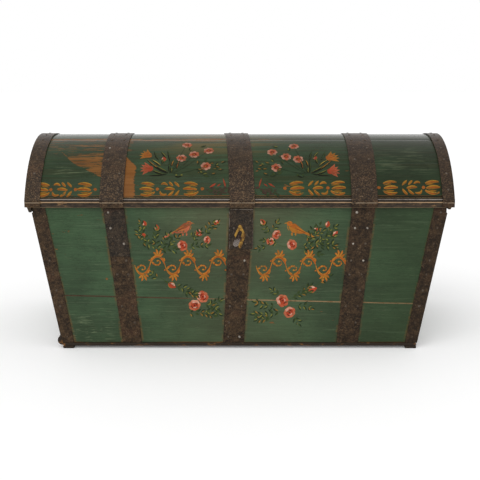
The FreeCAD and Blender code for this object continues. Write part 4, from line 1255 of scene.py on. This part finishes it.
# %% Leaves and stems
def turned(place, angle, along, across=0.0):
    """A point that far ahead and aside of a place, looking along an angle."""
    cos, sin = math.cos(math.radians(angle)), math.sin(math.radians(angle))
    return (place[0] + along * cos - across * sin, place[1] + along * sin + across * cos)


def ahead(place, angle, *offsets):
    """Several such points."""
    return [turned(place, angle, *offset) for offset in offsets]


def leaf(painting, place, angle, length, light=None):
    """A dark comma with a paler one beside it, never quite the same twice."""
    angle += painting.chance.uniform(-16, 16)
    side = painting.chance.choice((-1, 1))
    light = light or painting.chance.choice((LEAF_PALE, LEAF_PALE, LEAF_GOLD, LEAF, LEAF))
    dark = painting.chance.choice((LEAF_DARK, LEAF_DARK, LEAF_DEEP))
    for shift, tone, share in ((0.0, dark, 1.20), (length * 0.22 * side, light, 0.84)):
        start = turned(place, angle, length * 0.12, shift)
        painting.stroke([start, turned(start, angle, length * 0.5, -side * length * 0.12),
                         turned(start, angle, length * share)],
                        length * 0.32 * share, tone, head=0.5, steps=5)


def stem(painting, *points, width, colour=LEAF):
    """A thin line that keeps its width."""
    painting.stroke(points, width, colour, head=0.3, blunt=0.4, steps=12)


print("a leaf is two strokes, a stem is one")


# %% Buds, roses and twigs
def bud(painting, place, angle, size):
    """A closed flower that points along its angle, with sepals behind it."""
    painting.motif()
    back = turned(place, angle, -size)
    for side in (-1, 1):
        painting.stroke(ahead(back, angle, (0,), (size * 0.6, side * size * 0.9),
                              (size * 1.5, side * size * 0.75)),
                        size * 0.4, LEAF_PALE, head=0.4)
    painting.stroke([back, place, turned(place, angle, size * 1.15)],
                    size * 1.5, RED, head=0.42, blunt=0.7)
    painting.stroke(ahead(place, angle, (-size * 0.5, size * 0.35), (size * 0.2, size * 0.62),
                          (size * 0.8, size * 0.2)), size * 0.5, PINK, head=0.5)
    painting.stroke(ahead(back, angle, (0,), (-size * 0.6,), (-size * 1.3,)),
                    size * 0.3, LEAF, head=0.2)


def rose(painting, place, radius, turn):
    """An open rose: a red disc and curled coral petals, two of them pale with light."""
    painting.motif()

    def petal(rim, angle, half, rise, *paint, steps):
        painting.stroke([turned(rim, angle + 90, -half), turned(rim, angle, rise),
                         turned(rim, angle + 90, half)], *paint, head=0.5, steps=steps)

    painting.dot(place, radius * 0.84, RED, 0.80, turn)
    for number in range(7):
        angle = turn + number * 360 / 7
        spread = radius * (1 - 0.16 * math.sin(math.radians(angle - turn)) ** 2)
        rim = turned(place, angle, spread * painting.chance.uniform(0.52, 0.64))
        tone = PINK if number in (1, 2) else painting.chance.choice((CORAL, CORAL, RED))
        petal(rim, angle, radius * 0.5, spread * 0.42, radius * 0.40, tone, CORAL, steps=6)
    for number in range(6):
        angle = turn + 30 + number * 60
        rim = turned(place, angle, radius * (0.24 + 0.12 * (number % 2)))
        petal(rim, angle, radius * 0.28, radius * 0.26, radius * 0.17,
              (WINE, PINK, RED)[number % 3], steps=5)
    painting.dot(place, radius * 0.13, WINE)


def flourish(painting, place, angle, count, length, size):
    """A short twig with small leaves on both sides."""
    painting.motif()
    end = turned(place, angle, length)
    stem(painting, place, turned(place, angle, length * 0.5, length * 0.10), end, width=1.1)
    for number in range(count):
        share = (number + 0.5) / count
        root = turned(place, angle, length * share, length * 0.10 * (1 - abs(2 * share - 1)))
        for side in (-1, 1):
            leaf(painting, root, angle + side * 46, size * painting.chance.uniform(0.8, 1.15))
    leaf(painting, end, angle, size)


print("stock shapes: leaf, stem, bud, rose, flourish")


# %% Birds
def bird(painting, place, facing, coat=RUST, light=CORAL):
    """A small bird on a twig. facing is 1 when it looks right."""
    painting.motif()

    def to(*points):
        return [(place[0] + facing * u, place[1] + v) for u, v in points]

    for foot in (0, 11):
        painting.stroke(to((foot, -10), (foot + 3, -15), (foot + 1, -22)), 5.0, coat, light,
                        head=0.6, blunt=0.6)
    for points, width, tip, head, blunt in (
            (((-14, -6), (-36, -17), (-58, -28)), 7.5, light, 0.5, 0.5),  # tail
            (((-30, -14), (-6, -8), (16, -2), (22, 12)), 19, light, 0.62, 1.0),  # belly
            (((-24, -8), (-2, 4), (16, 12), (22, 20)), 15, coat, 0.6, 1.0)):  # back
        painting.stroke(to(*points), width, coat, tip, head, blunt)
    painting.dot(to((20, 16))[0], 8.6, coat, 0.95)
    for points, width, colour, tip, head in (
            (((26, 18), (31, 18), (37, 15)), 3.2, light, OCHRE, 0.2),  # beak
            (((13, 21), (20, 25), (28, 20)), 1.6, OCHRE, OCHRE, 0.5),  # crown
            (((26, 11), (28, 2), (20, -7)), 2.0, OCHRE, light, 0.5),  # breast
            (((-34, -13), (-12, 0), (6, 8)), 2.0, OCHRE, OCHRE, 0.5)):  # edge of the wing
        painting.stroke(to(*points), width, colour, tip, head)
    for number, feather in enumerate((WINE, light, OCHRE)):
        painting.stroke(to((-28 + 6 * number, -13 + 2 * number), (-12 + 6 * number, -6 + number),
                           (4 + 4 * number, 2 - number)), 1.6, feather, head=0.5)
    painting.dot(to((21, 18))[0], 1.6, LEAF_DARK)
    painting.dot(to((21.5, 18.5))[0], 0.6, WHITE)


print("a bird has a tail, a belly, a back and three marked feathers")

# %% Vines
VINE_WAVES = 6


def scroll(painting, place, angle, size, side, width):
    """An arm that rolls up, thick where it starts and thin in its eye."""
    previous = place
    heading, step = angle, size * 0.55
    for number in range(6):
        following = turned(previous, heading, step)
        bent = turned(previous, heading - side * 14, step * 0.55)
        share = 1 - number * 0.11
        painting.stroke([previous, bent, following], width * share, OCHRE,
                        ORANGE if number % 2 else EMBER, head=0.5, blunt=0.35, steps=5)
        previous = following
        heading += side * (34 + number * 7)
        step *= 0.86
    painting.dot(previous, width * 0.42, OCHRE)


def vine(painting, left, right, level, height):
    """A running vine in ochre: a thick and thin wave, a scroll and leaves at each turn."""
    painting.motif()
    pitch = (right - left) / VINE_WAVES
    for number in range(VINE_WAVES):
        side = 1 if number % 2 else -1
        start = (left + number * pitch, level)
        middle = (start[0] + pitch / 2, level + side * height * 0.40)
        wave = [start, (middle[0] - pitch * 0.28, middle[1] + side * height * 0.16),
                (middle[0] + pitch * 0.28, middle[1] + side * height * 0.16),
                (start[0] + pitch, level)]
        painting.stroke(wave, 8.5, OCHRE, ORANGE, head=0.55, blunt=0.6, steps=14)
        painting.stroke([(u + 0.8, v - 1.6) for u, v in wave], 2.6, EMBER, head=0.6, steps=14)
        scroll(painting, (start[0] + pitch * 0.16, level + side * height * 0.16),
               -side * 50, height * 0.28, side, 6.5)
        for angle, reach in ((28, 0.30), (62, 0.36), (98, 0.34), (132, 0.26)):
            tip = turned(middle, side * angle, height * reach)
            painting.stroke([turned(middle, side * angle, height * 0.05),
                             turned(middle, side * (angle - 16), height * reach * 0.6), tip],
                            6.2, OCHRE, ORANGE, head=0.6, blunt=0.8)
        for share in (0.06, 0.94):
            root = (start[0] + pitch * share, level + side * height * 0.16)
            painting.stroke([root, turned(root, side * 70, height * 0.12, 3 - 6 * share),
                             turned(root, side * (60 + 50 * share), height * 0.24)],
                            4.6, ORANGE, OCHRE, head=0.6)
        painting.dot((start[0] + pitch * 0.98, level - side * height * 0.22), 2.4, ORANGE)


print("a vine has", VINE_WAVES, "waves")

# %% [markdown]
# Now the front. In each inner bay a bird sits over a spray of roses, an ochre
# vine runs across the middle, and a second spray lies below it across the seam
# of the planks. Places are in millimetres from the trunk's middle and its foot.


# %% The front's flowers
def front_sprays():
    """Both bays: the stems, then leaves, buds and roses over them, birds and vines."""
    painting = Painting(7)
    for points in (((-292, 336), (-250, 316), (-196, 312), (-140, 322)),
                   ((-270, 330), (-262, 356), (-254, 376)),
                   ((-236, 318), (-222, 340), (-204, 352)),
                   ((-150, 322), (-118, 340), (-84, 372), (-70, 392)),
                   ((104, 330), (160, 312), (220, 318), (282, 312)),
                   ((206, 320), (244, 336), (296, 384)), ((196, 322), (220, 350), (232, 372)),
                   ((112, 346), (92, 366), (74, 392)),
                   ((-252, 232), (-214, 206), (-160, 176), (-116, 162)),
                   ((256, 216), (222, 190), (168, 164), (136, 150))):
        stem(painting, *points, width=1.3)
    for place, angle, count, length, size in (
            ((-276, 330), 106, 5, 68, 13), ((-252, 326), 86, 4, 48, 13),
            ((-298, 338), 96, 3, 34, 13), ((-300, 334), -20, 4, 60, 14),
            ((-240, 312), 0, 3, 44, 15), ((-232, 322), 62, 3, 40, 14),
            ((-214, 318), 50, 3, 42, 14), ((-152, 318), 8, 4, 54, 13),
            ((-140, 334), 58, 3, 40, 12), ((-104, 356), 60, 3, 44, 12),
            ((-84, 372), 50, 2, 30, 11), ((-150, 350), 24, 2, 26, 11),
            ((90, 360), 118, 3, 36, 12), ((118, 336), 172, 3, 46, 12),
            ((100, 372), 60, 2, 28, 12), ((84, 326), 200, 2, 30, 12),
            ((186, 320), 4, 6, 98, 14), ((200, 330), 40, 4, 62, 13),
            ((226, 330), 24, 4, 60, 13), ((206, 338), 66, 3, 44, 12),
            ((258, 352), 46, 3, 42, 12), ((228, 352), 70, 2, 36, 12),
            ((188, 312), -14, 3, 54, 13), ((236, 322), -4, 3, 50, 13),
            ((-196, 198), -22, 3, 44, 13), ((-160, 186), -30, 2, 30, 14),
            ((-176, 176), -8, 2, 40, 12), ((-246, 222), 140, 2, 28, 12),
            ((-108, 142), -24, 3, 40, 14), ((-92, 136), 28, 3, 34, 13),
            ((-158, 112), -6, 5, 76, 14), ((-110, 116), -8, 3, 44, 14),
            ((126, 118), 188, 5, 78, 15), ((110, 134), 168, 4, 58, 14),
            ((96, 104), 196, 3, 40, 14), ((160, 158), 24, 4, 56, 13),
            ((122, 168), 140, 2, 28, 12), ((172, 136), -10, 3, 46, 13),
            ((238, 208), 30, 2, 40, 13), ((164, 102), -52, 2, 28, 12),
            ((190, 172), 46, 2, 36, 12)):
        flourish(painting, place, angle, count, length, size)
    for place, angle, size in (
            ((-285, 393), 110, 8.5), ((-248, 380), 96, 8.5), ((-290, 357), 160, 9),
            ((-69, 396), 40, 8.5), ((70, 397), 130, 9.5), ((230, 377), 100, 7.5),
            ((264, 390), 76, 9), ((287, 361), 50, 9.5), ((-207, 201), -32, 12),
            ((220, 188), 14, 14)):
        bud(painting, place, angle, size)
    for place, radius, turn in (
            ((-123, 364), 12, 20), ((-98, 343), 12, 80), ((-172, 325), 17, 110),
            ((-113, 164), 20, 100), ((-138, 137), 20, 10),
            ((111, 359), 14.5, 60), ((93, 338), 13, 10), ((158, 328), 17, 120),
            ((131, 152), 21, 110), ((153, 114), 20, 40)):
        rose(painting, place, radius, turn)
    bird(painting, (-172, 377), 1)
    bird(painting, (170, 377), -1, ORANGE, OCHRE)
    vine(painting, -318, -42, 264, 68)
    vine(painting, 50, 322, 262, 68)
    return painting


print("front bays: two")


# %% Laying the front's flowers
def on_front(u, v, lift):
    """Lays the sheet flat on the front: u runs along the trunk and v up it."""
    return Vector((u * MM, WALL_FRONT - lift * MM, v * MM))


front = front_sprays()
print("strokes on the front:", front.strokes)
front.lay("front_flowers", "trunk", on_front, WALL_PAINT)

# %% [markdown]
# The lid has a border of leaf strokes along its front edge, and two bunches of
# tulips and star flowers above it. Heights run up the curve of the dome, so each
# point is turned about the dome's axis when it is laid.


# %% Tulips and stars
def tulip(painting, place, angle, size, colour, tip):
    """Five pointed petals that open from a round foot, each with a dark vein."""
    painting.motif()
    painting.dot(turned(place, angle, size * 0.20), size * 0.34, colour)
    for spread in (-46, 46, -22, 22, 0):
        for bent, turning, length, width, paint in (
                (0.55, 1.0, 1.0, 0.30, (colour, tip)), (0.5, 0.9, 0.85, 0.07, (EMBER,))):
            painting.stroke([place, turned(place, angle + spread * 0.7, size * bent),
                             turned(place, angle + spread * turning, size * length)],
                            size * width, *paint, head=0.45)


def star(painting, place, radius, turn):
    """A small flower: pale petals round a red ring and a yellow eye."""
    painting.motif()
    for number in range(7):
        angle = turn + number * 360 / 7
        painting.stroke(ahead(place, angle, (0,), (radius * 0.6,), (radius,)), radius * 0.68,
                        CORAL, PETAL if number % 3 else CORAL, head=0.74, blunt=0.6)
    painting.dot(place, radius * 0.52, RED, 0.9)
    painting.dot(turned(place, turn, radius * 0.1), radius * 0.30, WINE)
    painting.dot(place, radius * 0.15, OCHRE)


print("a star has seven petals, a tulip five")

# %% The border
BORDER = pigment(166, 114, 36)
BORDER_LIGHT = pigment(206, 158, 54)
BORDER_CORE = pigment(158, 76, 30)


def bar(painting, points, width):
    """A full stroke in two paints, laid wet on wet: the core is the darker one."""
    painting.stroke(points, width, BORDER, OCHRE, head=0.5, blunt=0.45)
    inner = [(u, v - width * 0.10) for u, v in points]
    painting.stroke(inner, width * 0.40, BORDER_CORE, ORANGE, head=0.45, blunt=0.6)
    upper = [(u + 1, v + width * 0.24) for u, v in points]
    painting.stroke(upper, width * 0.17, BORDER_LIGHT, head=painting.chance.uniform(0.25, 0.75))


def on_border(middle, v):
    """The border was painted by eye: it climbs a little towards the right."""
    return 28 + (v - 30) * 0.9 + middle * 0.007


def lyre(painting, middle, way):
    """A border motif: three bars over each other, of which the lowest is a bowl."""
    painting.motif()

    def to(*points):
        return [(middle + way * u * 0.95, on_border(middle, v)) for u, v in points]

    bar(painting, to((-21, 50), (0, 56), (22, 45)), 10)
    painting.stroke(to((-6, 43), (8, 44), (21, 39)), 4.5, BORDER)
    bar(painting, to((-24, 30), (-2, 36), (20, 27)), 12.5)
    painting.stroke(to((-13, 20), (0, 16), (16, 22)), 5, BORDER)
    bar(painting, to((-21, 12), (4, 3), (24, 20)), 10.5)


def fan(painting, middle, way):
    """The motif between two lyres: leaning commas above and below a bar."""
    painting.motif()
    for points, width in ((((-28, 46), (-20, 57), (-9, 44)), 9),
                          (((-5, 56), (0, 51), (7, 40)), 8.5),
                          (((11, 56), (18, 50), (26, 38)), 8.5),
                          (((-18, 30), (-3, 36), (13, 27)), 12),
                          (((-31, 22), (-29, 4), (-11, 12)), 9),
                          (((-8, 6), (2, 11), (9, 23)), 9),
                          (((12, 5), (19, 11), (26, 25)), 9)):
        bar(painting, [(middle + way * u, on_border(middle, v)) for u, v in points], width * 0.9)


print("border motifs: lyre and fan")


# %% The bunches
def blade(painting, foot, middle, tip, light):
    """A long leaf of the bunch: a dark stroke and a lit line along it."""
    painting.stroke([foot, middle, tip], 7.0, BLADE, head=0.45, steps=10)
    painting.stroke([(u + 1, v + 2.8) for u, v in (foot, middle, tip)], 2.6, light,
                    head=0.6, steps=10)


def bunch(painting, side):
    """The bunch between border and crown. side is -1 for the left one."""

    def to(*points):
        return [(-side * u, v) for u, v in points]

    painting.motif()
    for points, light in (
            (((-218, 78), (-240, 74), (-272, 71)), LEAF),
            (((-215, 79), (-252, 96), (-282, 134)), OCHRE),
            (((-239, 106), (-250, 122), (-268, 132)), YELLOW),
            (((-214, 82), (-236, 94), (-252, 106)), LEAF_PALE),
            (((-246, 132), (-256, 146), (-262, 172)), LEAF),
            (((-224, 140), (-230, 156), (-242, 170)), LEAF_PALE),
            (((-212, 126), (-214, 150), (-222, 176)), LEAF),
            (((-210, 80), (-214, 104), (-212, 126)), LEAF),
            (((-206, 106), (-206, 118), (-200, 130)), OCHRE),
            (((-190, 96), (-190, 112), (-184, 126)), ORANGE),
            (((-206, 80), (-204, 88), (-207, 100)), LEAF_PALE),
            (((-194, 70), (-184, 66), (-172, 72)), LEAF),
            (((-232, 76), (-252, 84), (-262, 90)), LEAF_PALE),
            (((-236, 116), (-232, 126), (-234, 138)), LEAF_PALE)):
        blade(painting, *to(*points), light)
    for points in (((-206, 80), (-190, 110), (-176, 140)), ((-204, 80), (-170, 104), (-140, 158)),
                   ((-200, 80), (-150, 108), (-98, 176)), ((-200, 78), (-150, 84), (-106, 106)),
                   ((-206, 84), (-180, 150), (-166, 206))):
        stem(painting, *to(*points), width=1.4, colour=LEAF_DARK)
    for length, light, places in (
            (15, None, (((-128, 84), 40), ((-112, 78), 150), ((-96, 84), 200), ((-80, 92), 30),
                        ((-90, 70), 175), ((-106, 124), 70), ((-124, 132), 250),
                        ((-152, 176), 80), ((-120, 196), 30), ((-74, 108), 60))),
            (14, LEAF_GOLD, (((-66, 92), 20), ((-70, 80), 190), ((-58, 104), 150),
                             ((-84, 100), 10), ((-76, 122), 200), ((-56, 118), 40),
                             ((-112, 92), 170)))):
        for place, angle in places:
            leaf(painting, to(place)[0], angle if side < 0 else 180 - angle, length, light)
    for place in ((-190, 74), (-174, 74)):
        painting.dot(to(place)[0], 3.0, LEAF_PALE if side < 0 else LEAF)


print("the right bunch mirrors the left")

# %% All that is painted on the lid
SOOT_DABS = 48


def lid_sprays():
    """The border, both bunches with their flowers, and the sooty marks in the middle."""
    painting = Painting(11)
    for middle, way in ((-588, 1), (-462, 1), (-275, 1), (-146, 1), (170, -1), (294, -1),
                        (449, -1), (575, -1)):
        lyre(painting, middle, way)
    for middle, way in ((-526, 1), (-206, 1), (231, -1), (511, -1)):
        fan(painting, middle, way)
    painting.motif()
    for middle in (-562, -489, -430, -245, -111, 135, 263, 415, 548):
        painting.dot((middle, on_border(middle, 30)), 5.2, ORANGE)
    bunch(painting, -1)
    bunch(painting, 1)
    for place, angle, size, paint in (
            ((-272, 152), 156, 34, (ORANGE, OCHRE)), ((-266, 98), 176, 34, (RED, CORAL)),
            ((268, 140), 24, 36, (ORANGE, OCHRE)), ((268, 88), 8, 34, (RED, CORAL))):
        tulip(painting, place, angle, size, *paint)
    bud(painting, (-230, 137), 100, 9)
    bud(painting, (230, 143), 84, 8)
    for number, place in enumerate(((-163, 211), (-177, 142), (-139, 159), (-95, 178),
                                    (-102, 108), (168, 203), (100, 170), (142, 148),
                                    (178, 137), (111, 102))):
        star(painting, place, 16, number * 17)
    painting.motif()
    for side, middle in ((-1, -62), (1, 78)):
        for points, width, head in ((((-20, 30), (-18, 46), (-12, 62)), 5, 0.5),
                                    (((-6, 44), (0, 40), (6, 34)), 4, 0.5),
                                    (((8, 46), (18, 38), (28, 32)), 6, 0.4)):
            painting.stroke([(middle + side * u, v) for u, v in points], width, RED, head=head)
        for number in range(SOOT_DABS):
            shift, level = painting.chance.gauss(2, 18), painting.chance.gauss(20, 7)
            if abs(shift) < 36 and 6 < level < 34:
                painting.dot((middle + side * shift, level), painting.chance.uniform(2, 6),
                             painting.chance.choice((SOOT, SOOT, LEAF_DEEP, SOOT_RED)), 0.7)
    return painting


print("dabs of soot, at most:", 2 * SOOT_DABS)


# %% Laying the lid's flowers
def on_dome(u, v, lift):
    """Lays the sheet on the dome: v runs up its curve from the front edge."""
    angle = -DOME_ANGLE + v * MM / DOME_RADIUS
    reach = DOME_RADIUS + lift * MM
    return Vector((u * MM, DOME_Y + reach * math.sin(angle), DOME_Z + reach * math.cos(angle)))


lid = lid_sprays()
print("strokes on the lid:", lid.strokes)
lid.lay("lid_flowers", "lid", on_dome, LID_PAINT)

# %% [markdown]
# Last, the faces of all the pieces are counted. The dressed trunk is meant to fill
# the same box as the CAD model, give or take a hair of bevel and hammering.

# %% Faces in all the pieces
print("faces:", sum(made.values()), "in", len(made), "pieces")
